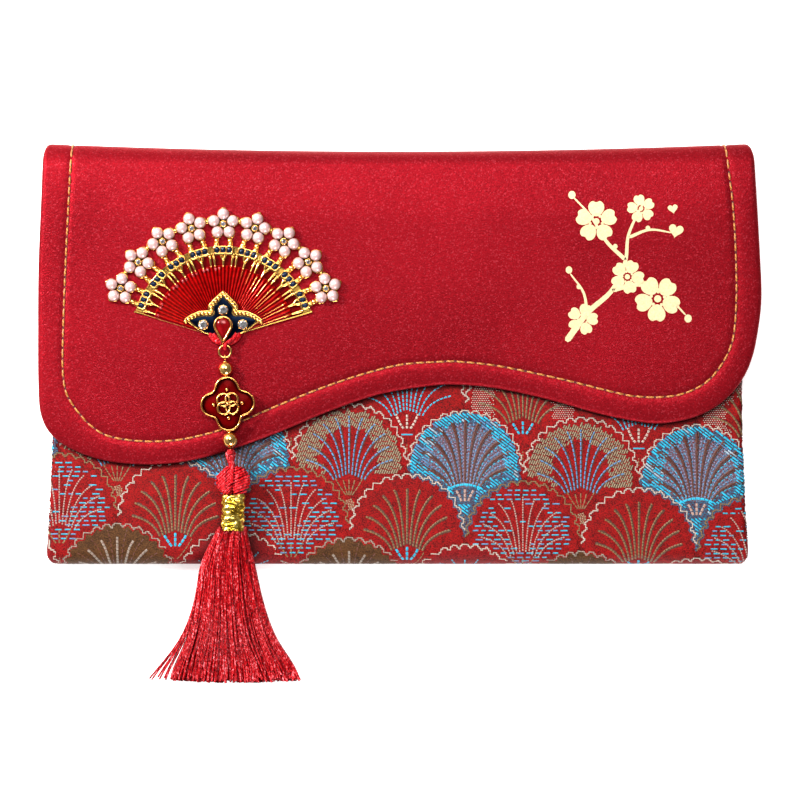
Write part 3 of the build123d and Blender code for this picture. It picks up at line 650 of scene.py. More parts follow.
# a darker copy of the red enamel for the floor beyond the pleats' lips: painted shade between the sticks
red_floor_shade = enamel_material("red_enamel_floor_shade", (0.050, 0.0002, 0.0004), (0.110, 0.0005, 0.0010), 0.25, tint=(1.0, 0.1, 0.1), coat=0.0, spec=0.2)
charm_red = enamel_material("charm_enamel", (0.030, 0.0003, 0.0004), (0.112, 0.0007, 0.0011), 0.16, 0.02, 5.0, tint=(1.0, 0.06, 0.06), coat=0.0, painted_groove_shade=(0.0015, 0.0001, 0.0001), spec=0.12, reach=1.5)
blue_enamel = enamel_material("blue_enamel", (0.0003, 0.0005, 0.0022), (0.0006, 0.0010, 0.0050), 0.16, 0.03, 1.4, (0.0, 0.012, 0.021), tint=(0.2, 0.40, 0.9), coat=0.0, spec=0.08)
red_stone = enamel_material("red_stone", (0.05, 0.0003, 0.0008), (0.20, 0.0012, 0.0030), 0.05, 0.01, 2.2, tint=(1.0, 0.4, 0.4), coat=0.05)
blue_stone = enamel_material("blue_stone", (0.0006, 0.0012, 0.0060), (0.0016, 0.0042, 0.020), 0.06, 0.005, tint=(0.5, 0.7, 1.0), coat=0.1, spec=0.4)


def pearl_material():
    k = Mat("pearl", (0.46, 0.34, 0.34), 0.28, 0.0, Coat_Weight=1.0, Coat_Roughness=0.12, Coat_IOR=2.0, Subsurface_Weight=0.12, Specular_IOR_Level=1.0)
    k.b.inputs["Subsurface Scale"].default_value = 0.0008
    n = k.noise(2.2, 2)
    k.color(k.ramp(n, (0.3, (0.52, 0.290, 0.290)), (0.5, (0.54, 0.340, 0.320)), (0.72, (0.49, 0.310, 0.330))))
    k.rough(k.range(k.noise(0.5), 0.26, 0.38))
    k.bump(k.noise(0.8, 2), 0.006, 0.5)
    return k.m


pearl = pearl_material()


def crystal_material():
    k = Mat("crystal", (0.72, 0.72, 0.74), 0.04, 0.9)
    k.color(k.ramp(k.noise(0.7, 1), (0.3, (0.34, 0.34, 0.36)), (0.6, (0.80, 0.80, 0.82))))
    k.rough(k.range(k.noise(0.3), 0.03, 0.10))
    return k.m


crystal = crystal_material()


def silk_material(name, deep, bright, twist=0.36, shade=0.40, painted_highlight=(0.95, 0.26, 0.30)):
    """Rayon tassel thread: glossy, twisted, with each thread a little different; painted shade between the threads and
    painted pink highlights on the twists.
    """
    k = Mat(name, bright, 0.3, 0.0, Specular_IOR_Level=0.6)
    k.b.inputs["Specular Tint"].default_value = (1.0, 0.18, 0.22, 1)
    strand = k.noise(1, 2, 0.6, k.stretch((1.6, 0.08, 1.3)))
    ply = k.noise(1, 1, 0.6, k.stretch((0.8 / twist, 0.62 / twist, 0.8 / twist), (0, 0, 0.5)))
    # painted shade: darker red wherever the threads close in on one another
    crevice_shade = k.crevice(1.2, 0.25, 0.85)
    t = k.math("ADD", k.math("MULTIPLY", strand, 0.45), k.math("MULTIPLY", ply, 0.55))
    # painted highlight: the ramp's two lightest stops put pink glints on the twists
    col = k.ramp(t, (0.37, deep), (0.50, bright), (0.57, tuple(min(1.0, c * 1.35 + 0.012) for c in bright)), (0.66, painted_highlight))
    k.color(k.mix(k.math("MULTIPLY", crevice_shade, shade), col, tuple(c * 0.35 for c in deep)))
    k.rough(k.range(ply, 0.42, 0.22, 0.35, 0.65))
    k.bump(ply, 0.24, 1.0)
    return k.m


silk = silk_material("red_silk", (0.070, 0.0002, 0.0006), (0.33, 0.0015, 0.0040), shade=0.60, painted_highlight=(0.80, 0.20, 0.23))
knot_silk = silk_material("red_silk_knot", (0.13, 0.0003, 0.0010), (0.44, 0.0020, 0.0056), 0.45, 0.90, (0.80, 0.10, 0.12))


def metallic_thread_material():
    k = Mat("metallic_thread", (0.72, 0.46, 0.06), 0.25, 1.0)
    c = k.noise(1.3, 2, 0.6)
    k.color(k.ramp(c, (0.30, (0.30, 0.14, 0.008)), (0.48, (0.66, 0.40, 0.035)), (0.66, (1.0, 0.76, 0.20))))
    k.rough(k.range(c, 0.14, 0.36))
    k.bump(c, 0.30, 0.8)
    return k.m


metallic_thread = metallic_thread_material()


def foil_material():
    k = Mat("gold_foil", (0.60, 0.46, 0.25), 0.46, 0.25)
    n = k.noise(0.5, 3, 0.6)
    k.color(k.ramp(n, (0.3, (0.52, 0.39, 0.20)), (0.7, (0.64, 0.50, 0.29))))
    k.rough(k.range(n, 0.38, 0.58))
    k.bump(n, 0.02, 0.6)
    return k.m


foil = foil_material()


def plain_material(name, deep, bright, rough, size, metal=0.0):
    k = Mat(name, bright, rough, metal)
    n = k.noise(size, 4, 0.6)
    k.color(k.ramp(n, (0.3, deep), (0.7, bright)))
    k.rough(k.range(n, rough - 0.1, rough + 0.1))
    k.bump(n, 0.03, 0.5)
    return k.m


board_mat = plain_material("grey_board", (0.34, 0.28, 0.20), (0.50, 0.43, 0.33), 0.85, 1.2)
steel_mat = plain_material("steel", (0.42, 0.42, 0.44), (0.62, 0.62, 0.64), 0.32, 0.8, 1.0)


# ================================================================== camera, light, floor
def stage_set():
    cam = bpy.data.cameras.new("camera")
    cam.lens, cam.sensor_width = 203.0, 36.0
    cam.clip_start, cam.clip_end = 0.05, 10
    co = bpy.data.objects.new("camera", cam)
    co.location = (0.66 * MM, -11.88 * MM, 1.2)
    scene.collection.objects.link(co)
    scene.camera = co

    def area(name, loc, size, power, color=(1, 1, 1)):
        li = bpy.data.lights.new(name, "AREA")
        li.shape, li.size, li.energy, li.color = "SQUARE", size, power, color
        o = bpy.data.objects.new(name, li)
        o.location = loc
        o.rotation_euler = (-Vector(loc)).to_track_quat("-Z", "Y").to_euler()
        scene.collection.objects.link(o)

    area("key", (-0.44, 0.25, 0.39), 0.08, 6.9, (1.0, 0.985, 0.965))
    area("top", (-0.02, 0.385, 0.90), 0.40, 7.2)
    area("fill", (0.08, -0.55, 0.20), 0.26, 2.7, (1.0, 0.99, 0.985))

    w = bpy.data.worlds.new("studio")
    scene.world = w
    w.use_nodes = True
    nt = w.node_tree
    bg = nt.nodes["Background"]
    tc = nt.nodes.new("ShaderNodeTexCoord")
    dot = nt.nodes.new("ShaderNodeVectorMath")
    dot.operation = "DOT_PRODUCT"
    dot.inputs[1].default_value = Vector((-0.55, 0.6, 0.58)).normalized()
    nt.links.new(tc.outputs["Generated"], dot.inputs[0])
    ramp = nt.nodes.new("ShaderNodeValToRGB")
    e = ramp.color_ramp.elements
    e.new(0.5)
    e.new(0.5)
    for el, (pos, v) in zip(e, ((0.0, 0.060), (0.84, 0.160), (0.92, 1.0), (1.0, 1.0))):
        el.position, el.color = pos, (v, v, v, 1)
    nt.links.new(dot.outputs["Value"], ramp.inputs[0])
    # the ceiling straight overhead is darker, as it is behind a camera
    sep = nt.nodes.new("ShaderNodeSeparateXYZ")
    nt.links.new(tc.outputs["Generated"], sep.inputs[0])
    over = nt.nodes.new("ShaderNodeMapRange")
    over.interpolation_type = "SMOOTHSTEP"
    for i, v in zip((1, 2, 3, 4), (0.80, 0.985, 1.0, 0.22)):
        over.inputs[i].default_value = v
    nt.links.new(sep.outputs["Z"], over.inputs[0])
    mul = nt.nodes.new("ShaderNodeMath")
    mul.operation = "MULTIPLY"
    nt.links.new(over.outputs[0], mul.inputs[0])
    mul.inputs[1].default_value = 3.0
    nt.links.new(ramp.outputs[0], bg.inputs[0])
    nt.links.new(mul.outputs[0], bg.inputs[1])

    k = Mat("floor", (0.92, 0.92, 0.92), 0.7)
    k.color(k.ramp(k.noise(60, 2), (0.3, (0.91, 0.91, 0.91)), (0.7, (0.93, 0.93, 0.93))))
    k.b.inputs["Emission Color"].default_value = (1, 1, 1, 1)
    k.b.inputs["Emission Strength"].default_value = 0.66
    acc = Acc()
    acc.add([(-1500, -1500, -0.02), (1500, -1500, -0.02), (1500, 1500, -0.02), (-1500, 1500, -0.02)], [(0, 1, 2, 3)])
    floor = acc.obj("floor", k.m, None)
    scene.view_settings.view_transform = "Standard"
    scene.view_settings.look = "None"


stage_set()

# ================================================================== flap
EDGE = resample(catmull(FLAP_EDGE), 660)
SEAM = resample(catmull(STITCH_LINE), step=0.5)


def inset_edge(d):
    """The flap's edge moved in by d; its ends stay on the fold line."""
    p = EDGE + normals2d(EDGE) * d
    p[0, 1] = p[-1, 1] = FOLD_Y
    return p


def fold_drop(y):
    """How far the satin has already turned down on its way into the fold."""
    return 1.05 * np.clip((np.asarray(y, float) - 34.0) / (FOLD_Y - 34.0), 0, 1) ** 2


def flap_height(xy):
    """Height of the padded satin at points of the flap."""
    xy = np.asarray(xy, float)
    edge, _, _ = line_distance(xy, EDGE)
    seam, s, side = line_distance(xy, SEAM)
    inner = side > 0
    x, y = xy[:, 0], xy[:, 1]
    u = np.clip(seam / 18, 0, 1)
    z = np.where(inner, 10.52 + 0.32 * (1 - (1 - u) ** 2), 10.52 + 0.14 * np.sin(math.pi * edge / (edge + seam + 1e-6)) - 0.42 * (seam / (edge + seam + 1e-6)) ** 2)
    z += 0.05 * np.sin(x / 15.0 + 1.3) * np.sin(y / 11.0 + 0.4) * smooth01(seam / 10) * inner
    ease = smooth01((FOLD_Y - y) / 16)
    z = 10.60 + ease * (z - 10.60)
    z -= 0.30 * np.exp(-((seam / 0.75) ** 2))
    z += 0.025 * np.cos(TAU * s / STITCH_PITCH) * np.exp(-((seam - 1.2) / 0.9) ** 2)
    drop = fold_drop(y)
    rim = EDGE_Z - 0.8 * drop
    roll = np.clip(edge / 1.2, 0, 1)
    return rim + (z - drop - rim) * np.sqrt(np.clip(1 - (1 - roll) ** 2, 0, 1))


def make_flap():
    boundary = EDGE
    rings = [inset_edge(d)[1:-1] for d in (0.06, 0.2, 0.42, 0.7, 1.0, 1.4, 2.1, 2.9)]
    seam_n = normals2d(SEAM)
    near = [SEAM + seam_n * d for d in (-1.7, -1.0, -0.5, 0.0, 0.5, 1.0, 1.7)]
    cloud = hex_points(-96, 97, -30, FOLD_Y - 0.4, 0.95)
    poly = np.concatenate([inset_edge(3.4), [[90, FOLD_Y], [-90, FOLD_Y]]])
    cloud = cloud[inside(cloud, poly)]
    sd, _, _ = line_distance(cloud, SEAM)
    cloud = cloud[sd > 2.1]
    top_line = np.stack([np.linspace(EDGE[-1, 0], EDGE[0, 0], 190)[1:-1], np.full(188, FOLD_Y)], 1)
    extra = np.concatenate(rings + near + [cloud])
    full = np.concatenate([boundary, top_line])
    keep_pts = inside(extra, full) & (extra[:, 1] < FOLD_Y - 0.1)
    xy, tri = fill_region(full, extra[keep_pts])
    acc = Acc()
    acc.add(on_plane(xy, flap_height(xy)), tri)
    # the cloth turns under the edge into a hem
    prof = [(0.0, 9.40), (0.10, 9.06), (0.35, 8.70), (0.75, 8.50), (1.3, 8.42), (3.0, 8.40), (5.0, 8.42)]
    rings = []
    for d, z in prof:
        p = inset_edge(d)
        k = (EDGE_Z - 0.8 * fold_drop(EDGE[:, 1]) - 8.42) / (EDGE_Z - 8.42)
        rings.append(on_plane(p, 8.42 + (z - 8.42) * k))
    acc.add(np.concatenate(rings), grid_faces(len(prof), len(EDGE), flip=True))
    o = acc.obj("flap_cover_cloth", satin, "flap", "red_satin", replaces=["flap_cover", "flap_foam"])
    return o


make_flap()


def make_flap_lining():
    """Lining on the flap's underside, a little full between its seams."""
    line = inset_edge(3.6)
    top_line = np.stack([np.linspace(line[-1, 0], line[0, 0], 120)[1:-1], np.full(118, FOLD_Y)], 1)
    full = np.concatenate([line[::3], top_line])
    cloud = hex_points(-92, 93, -27, FOLD_Y - 1, 2.2)
    poly = np.concatenate([inset_edge(5.0), [[88, FOLD_Y], [-88, FOLD_Y]]])
    cloud = cloud[inside(cloud, poly)]
    xy, tri = fill_region(full, cloud)
    d, _, _ = line_distance(xy, line)
    z = 8.36 - 0.03 * smooth01(d / 6) + 0.015 * np.sin(xy[:, 0] / 6) * np.sin(xy[:, 1] / 7)
    acc = Acc()
    acc.add(on_plane(xy, z), tri[:, ::-1])
    o = acc.obj("flap_lining_cloth", lining, "flap", "lining", replaces=["flap_lining"])


make_flap_lining()


# ================================================================== top fold
def fold_reach(x):
    """How far the fold's cloth stands out beyond the fold line: less in the middle."""
    return 6.15 - 2.05 * (1 - np.clip(np.abs(x) / 94, 0, 1) ** 2)


def fold_point(u, phi, inner=False):
    """Cloth of the fold: u from 0 (left) to 1 (right), phi from -90 (back) to 90 (flap) degrees."""
    u, phi = np.broadcast_arrays(np.asarray(u, float), np.asarray(phi, float))
    t = (phi + 90) / 180
    left = -91.5 + (-93.8 + 91.5) * smooth01(t)
    right = 91.5 + (94.4 - 91.5) * smooth01(t)
    x = left + (right - left) * u
    a = np.radians(phi)
    if inner:
        up = np.where(phi > 0, 3.01 + 0.44 * (1 - np.sin(a)), 3.45 + 0.32 * np.abs(np.sin(a)))
        return np.stack([x, FOLD_Y + (fold_reach(x) - 0.95) * np.cos(a), FOLD_R + up * np.sin(a)], -1)
    d = np.minimum(x - left, right - x)
    sink = 0.99 * (1 - np.sqrt(np.clip(1 - (1 - np.clip(d / 1.2, 0, 1)) ** 2, 0, 1)))
    for sx in (fold_seam(t, -1), fold_seam(t, 1)):
        sink = sink + 0.30 * np.exp(-(((x - sx) / 0.75) ** 2))
    reach = fold_reach(x) - sink
    rise = np.where(phi > 0, 10.60 - 1.05 - FOLD_R, FOLD_R) - sink
    tilt = np.where(phi > 0, 2 * 1.05 / (FOLD_Y - 34.0), 0.0)
    z = FOLD_R + rise * np.sin(a) - tilt * reach * np.cos(a) * np.sin(a)
    return np.stack([x, FOLD_Y + reach * np.cos(a), z], -1)


def fold_seam(t, side):
    """Where the seam crosses the fold."""
    return (-85.4 - 0.9 * t) if side < 0 else (85.4 + 1.9 * t)


def make_fold(name, p0, p1, node_list, slot):
    left = np.array([0, 0.06, 0.2, 0.42, 0.7, 1.0, 1.4, 2.1, 3.4, 4.6, 5.6]) / 187
    near = np.linspace(6.2, 9.6, 9) / 187
    half = np.concatenate([left, near, np.linspace(11, 93.5, 60) / 187])
    us = np.concatenate([half, 1 - half[-2::-1]])
    ph = np.linspace(p0, p1, 17)
    uu, pp = np.meshgrid(us, ph, indexing="ij")
    acc = Acc()
    acc.add(fold_point(uu, pp).reshape(-1, 3), grid_faces(len(us), len(ph)), 0)
    inner = fold_point(uu, pp, True)
    acc.add(inner.reshape(-1, 3), grid_faces(len(us), len(ph), flip=True), 1)
    for row in (0, -1):
        rim = np.stack([fold_point(np.full(len(ph), us[row]), ph), inner[row]], 0)
        acc.add(rim.reshape(-1, 3), grid_faces(2, len(ph), flip=(row == 0)), 0)
    o = acc.obj(name, [satin, lining], None, slot)
    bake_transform(o)
    if node_list:
        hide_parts(*node_list)
    return o


make_fold("fold_cloth_upper", 0, 90, ["spine_cover"], "red_satin")
make_fold("fold_cloth_lower", -90, 0, ["spine_lining"], "red_satin")


# ================================================================== back panel
def make_back():
    h = 91.5
    line = [(-h, FOLD_Y), (-h, 0), (-h, BODY_BOTTOM_Y + 3), (-h + 0.9, BODY_BOTTOM_Y + 0.9), (-h + 3, BODY_BOTTOM_Y), (0, BODY_BOTTOM_Y)]
    line = resample(np.array(line + [(-x, y) for x, y in line[-2::-1]], float), 420)
    nrm = normals2d(line)

    def ins(d):
        p = line + nrm * d
        p[0, 1] = p[-1, 1] = FOLD_Y
        return p

    seam = resample(np.array([(-85.4, FOLD_Y), (-85.4, -42.4), (-82.4, -45.4), (82.4, -45.4), (85.4, -42.4), (85.4, FOLD_Y)]), step=0.6)
    sn = normals2d(seam)
    extra = [ins(d)[1:-1] for d in (0.15, 0.4, 0.8, 1.3, 2.2)] + [seam + sn * d for d in (-1.2, -0.6, 0, 0.6, 1.2)]
    cloud = hex_points(-89, 89, -49, FOLD_Y - 0.5, 2.0)
    d, _, _ = line_distance(cloud, seam)
    extra = np.concatenate(extra + [cloud[d > 1.8]])
    top_line = np.stack([np.linspace(h, -h, 92)[1:-1], np.full(90, FOLD_Y)], 1)
    full = np.concatenate([line, top_line])
    extra = extra[inside(extra, full) & (extra[:, 1] < FOLD_Y - 0.1)]
    xy, tri = fill_region(full, extra)
    d, _, _ = line_distance(xy, line)
    q, s, _ = line_distance(xy, seam)
    roll = np.clip(d / 1.3, 0, 1)
    z = 0.02 + 0.26 * np.exp(-((q / 0.7) ** 2)) + 0.04 * smooth01(q / 12) * (0.5 + 0.5 * np.sin(xy[:, 0] / 19) * np.sin(xy[:, 1] / 14))
    z = 0.78 + (z - 0.78) * np.sqrt(np.clip(1 - (1 - roll) ** 2, 0, 1))
    acc = Acc()
    acc.add(on_plane(xy, z), tri[:, ::-1])
    prof = [(0.0, 0.78), (0.12, 1.10), (0.4, 1.38), (0.9, 1.52), (2.5, 1.56)]
    acc.add(np.concatenate([on_plane(ins(d), z) for d, z in prof]), grid_faces(len(prof), len(line)))
    o = acc.obj("back_cover_cloth", satin_back, "pouch", "red_satin", replaces=["back_cover"])
    return seam


BACK_SEAM = make_back()


def make_pocket_lining():
    """Linings of the pocket: the back one runs on up to the fold."""
    def panel(name, z, x, y0, y1, up, node, wave):
        xs, ys = np.linspace(-x, x, 70), np.linspace(y0, y1, 42)
        a, b = np.meshgrid(xs, ys, indexing="ij")
        zz = z + wave * np.sin(a / 13 + 0.6) * np.sin(b / 9 + 1.1)
        acc = Acc()
        acc.add(np.stack([a, b, zz], 2).reshape(-1, 3), grid_faces(70, 42, flip=not up))
        o = acc.obj(name, lining, "pouch", "lining", replaces=[node])
    panel("back_lining_cloth", 1.58, 89.8, -53.6, FOLD_Y + 0.4, True, "back_lining", 0.04)
    panel("front_lining_cloth", 6.46, 89.2, -53.6, MOUTH_Y - 2.0, False, "front_lining", 0.03)


make_pocket_lining()


# ================================================================== brocade front
BOTTOM_R = (Z_FRONT - 0.45) / 2
BOTTOM_Z = Z_FRONT - BOTTOM_R
ROLL_R = 0.62


def half_width(y):
    flare = 91.0 + np.clip((-17.0 - y) / 34.4, 0, 1) ** 1.4 * 1.5
    corner = np.clip((BODY_BOTTOM_Y - 1.2 - y) / 2.8, 0, 1)
    return flare - 2.2 * (1 - np.sqrt(np.clip(1 - corner**2, 0, 1)))


def front_cloth(x, s, h=0.0):
    """Where a point of the brocade lies: x across, s along the cloth (equal to Y on the flat front), h above it."""
    x, s, h = np.broadcast_arrays(np.asarray(x, float), np.asarray(s, float), np.asarray(h, float))
    al = np.clip((BODY_BOTTOM_Y - s) / BOTTOM_R, 0, math.pi)
    y = np.where(s < BODY_BOTTOM_Y, BODY_BOTTOM_Y - BOTTOM_R * np.sin(al), s)
    bow = 0.10 * np.sin(x / 21 + 0.5) * np.sin(s / 15 + 0.2) + 0.10 * np.cos(x / 60)
    z = np.where(s < BODY_BOTTOM_Y, BOTTOM_Z + BOTTOM_R * np.cos(al), Z_FRONT) + bow * np.where(s < BODY_BOTTOM_Y, np.clip(np.cos(al), 0, 1), 1) * 0.6
    ny, nz = np.where(s < BODY_BOTTOM_Y, -np.sin(al), 0.0), np.where(s < BODY_BOTTOM_Y, np.cos(al), 1.0)
    tail = BODY_BOTTOM_Y - math.pi * BOTTOM_R
    under = s < tail
    y = np.where(under, BODY_BOTTOM_Y + (tail - s), y)
    z = np.where(under, 0.55, z)
    be = np.clip((s - MOUTH_Y) / ROLL_R, 0, math.pi)
    over = s > MOUTH_Y
    y = np.where(over, MOUTH_Y + ROLL_R * np.sin(be) - np.clip(s - MOUTH_Y - math.pi * ROLL_R, 0, None), y)
    z = np.where(over, z - ROLL_R * (1 - np.cos(be)), z)
    ny, nz = np.where(over, np.sin(be), ny), np.where(over, np.cos(be), nz)
    hw = half_width(y)
    e = np.abs(x) - (hw - ROLL_R)
    ga = np.clip(e / ROLL_R, 0, math.pi)
    sg = np.sign(x)
    wrap = e > 0
    xx = np.where(wrap, sg * (hw - ROLL_R + ROLL_R * np.sin(ga) - np.clip(e - math.pi * ROLL_R, 0, None)), x)
    drop = np.where(wrap, ROLL_R * (1 - np.cos(ga)), 0.0)
    nx = np.where(wrap, sg * np.sin(ga), 0.0)
    cg = np.where(wrap, np.cos(ga), 1.0)
    return np.stack([xx + nx * h, y - ny * drop + ny * cg * h, z - nz * drop + nz * cg * h], -1)


def make_front():
    core = np.linspace(-88, 88, 150)
    side = np.concatenate([[88.8, 89.4, 89.9], np.linspace(90.2, 97.5, 30)])
    xs = np.concatenate([-side[::-1], core, side])
    ss = np.concatenate([np.linspace(-66.5, BODY_BOTTOM_Y + 1, 40), np.linspace(BODY_BOTTOM_Y + 2.4, 38, 74), np.linspace(39, 46, 22)])
    a, b = np.meshgrid(xs, ss, indexing="ij")
    acc = Acc()
    acc.add(front_cloth(a, b).reshape(-1, 3), grid_faces(len(xs), len(ss)))
    # the cloth is tucked in over the ends of the bottom roll
    for sg in (-1, 1):
        rr = np.linspace(0.0, 1.0, 7)
        an = np.linspace(0, math.pi, 25)
        r, t = np.meshgrid(rr, an, indexing="ij")
        x = sg * (half_width(BODY_BOTTOM_Y - BOTTOM_R * np.sin(t) * 0.98) - 0.75 - 0.9 * (1 - r) ** 0.7)
        y = BODY_BOTTOM_Y - (BOTTOM_R - 0.1) * r * np.sin(t)
        z = BOTTOM_Z + (BOTTOM_R - 0.1) * r * np.cos(t)
        acc.add(np.stack([x, y, z], 2).reshape(-1, 3), grid_faces(7, 25, flip=(sg > 0)))
    o = acc.obj("brocade_front", ground_red, "pouch", "brocade", replaces=["front_cover", "bottom_fold"])


make_front()

# woven figures: overlapping fans in staggered rows, each row lying over the one above
FAN_PITCH, FAN_RADIUS, ROW_PITCH, ROW_SLOPE = 30.62, 15.3, 17.69, 0.06
COVER = []          # centres of the fans that lie over the one being drawn
THREADS = {k: [] for k in ("blue", "cyan", "cream", "khaki", "tan", "grey", "mauve", "dark", "dash_shadow", "umber", "steel", "bark", "rose", "silver")}
PATCHES = {k: [] for k in ("red", "turquoise", "brown", "dark", "heart")}


def covered(p):
    """Whether any of the points lies under a fan of a lower row."""
    p = np.asarray(p, float)
    return any(((p[:, 0] - cx) ** 2 + (p[:, 1] - cy) ** 2 < (FAN_RADIUS + 0.1) ** 2).any() for cx, cy in COVER)


def float_thread(kind, pts, width, h, rise=0.10):
    """One thread lying on the cloth; pts are cloth coordinates."""
    p = np.asarray(pts, float)
    if len(p) < 2:
        return
    y_low, y_high = -64.5, 42.0
    ok = (p[:, 1] > y_low) & (p[:, 1] < y_high) & (np.abs(p[:, 0]) < 93.4)
    if not ok.all():
        return
    if covered(p):
        return
    THREADS[kind].append((p, width / 2, h, rise))


def dashes(kind, line, on, off, width, h, start=0.0, rise=0.10):
    """A line broken into floats of length on with gaps of length off."""
    line = np.asarray(line, float)
    seg = np.linalg.norm(np.diff(line, axis=0), axis=1)
    s = np.concatenate([[0], np.cumsum(seg)])
    t = start
    while t + on * 0.5 < s[-1]:
        q = np.linspace(t, min(t + on, s[-1]), 3)
        float_thread(kind, np.stack([np.interp(q, s, line[:, 0]), np.interp(q, s, line[:, 1])], 1), width, h, rise)
        t += on + off


def bezier2(p0, p1, p2, n=14):
    t = np.linspace(0, 1, n)[:, None]
    return (1 - t) ** 2 * np.asarray(p0, float) + 2 * t * (1 - t) * np.asarray(p1, float) + t**2 * np.asarray(p2, float)


def plume(c, u, reach=0.74, spread=88.0, root=4.0, base=-3.4, sink=1.7):
    """A feather of the fan: rises from the foot and bends outwards."""
    a = math.radians(spread * u)
    r = FAN_RADIUS * reach
    end = np.array([r * math.sin(a), r * math.cos(a)])
    start = np.array([root * u, base - sink * abs(u)])
    mid = start + (end - start) * (0.22, 0.76)
    return bezier2(start, mid, end) + c


def scallop(c, lobes=32, depth=1.15, a0=-8.0, a1=188.0, n=190, grow=0.0):
    """The fan's lobed rim."""
    t = np.radians(np.linspace(a0, a1, n))
    f = np.abs(np.cos(lobes * (t - math.pi / 2) / 2))
    r = FAN_RADIUS - depth + depth * f + grow
    return np.stack([c[0] + r * np.cos(t), c[1] + r * np.sin(t)], 1)


def stepped_rim(kind, c, h, grow=0.0, cell=0.42, width=0.27, skip=0, a0=2.0):
    """The rim's outline, woven in small steps along and across the cloth."""
    base = scallop(c, a0=a0, a1=180 - a0, n=1200, grow=grow) - c
    ex, ey = np.array([1.0, -ROW_SLOPE]), np.array([ROW_SLOPE, 1.0])
    q = np.round(np.stack([base @ ex, base @ ey], 1) / cell).astype(int)
    path = [tuple(q[0])]
    for a in q[1:]:
        x, y = path[-1]
        if a[0] != x:
            path.append((int(a[0]), y))
            x = int(a[0])
        if a[1] != y:
            path.append((x, int(a[1])))
    runs, start = [], 0
    for i in range(1, len(path)):
        last = i == len(path) - 1
        if last or (path[i + 1][0] - path[i][0] != 0) != (path[i][0] - path[i - 1][0] != 0):
            runs.append((path[start], path[i]))
            start = i
    for i, (a, b) in enumerate(runs):
        if skip and i % skip == 0:
            continue
        p0 = c + cell * (a[0] * ex + a[1] * ey)
        p1 = c + cell * (b[0] * ex + b[1] * ey)
        d = p1 - p0
        d = d / (np.linalg.norm(d) + 1e-9) * width * 0.35
        float_thread(kind, [p0 - d, p1 + d], width, h + 0.008 * (i % 2), 0.10)


def in_fan(q, margin=1.6):
    """Whether a point, measured from the fan's middle, lies on its leaf or foot."""
    r = math.hypot(q[0], q[1])
    if q[1] > -2.5:
        return r < FAN_RADIUS - margin
    return abs(q[0]) < (FAN_RADIUS - margin) * (1 - (-2.5 - q[1]) / 15.5) - margin * 0.4


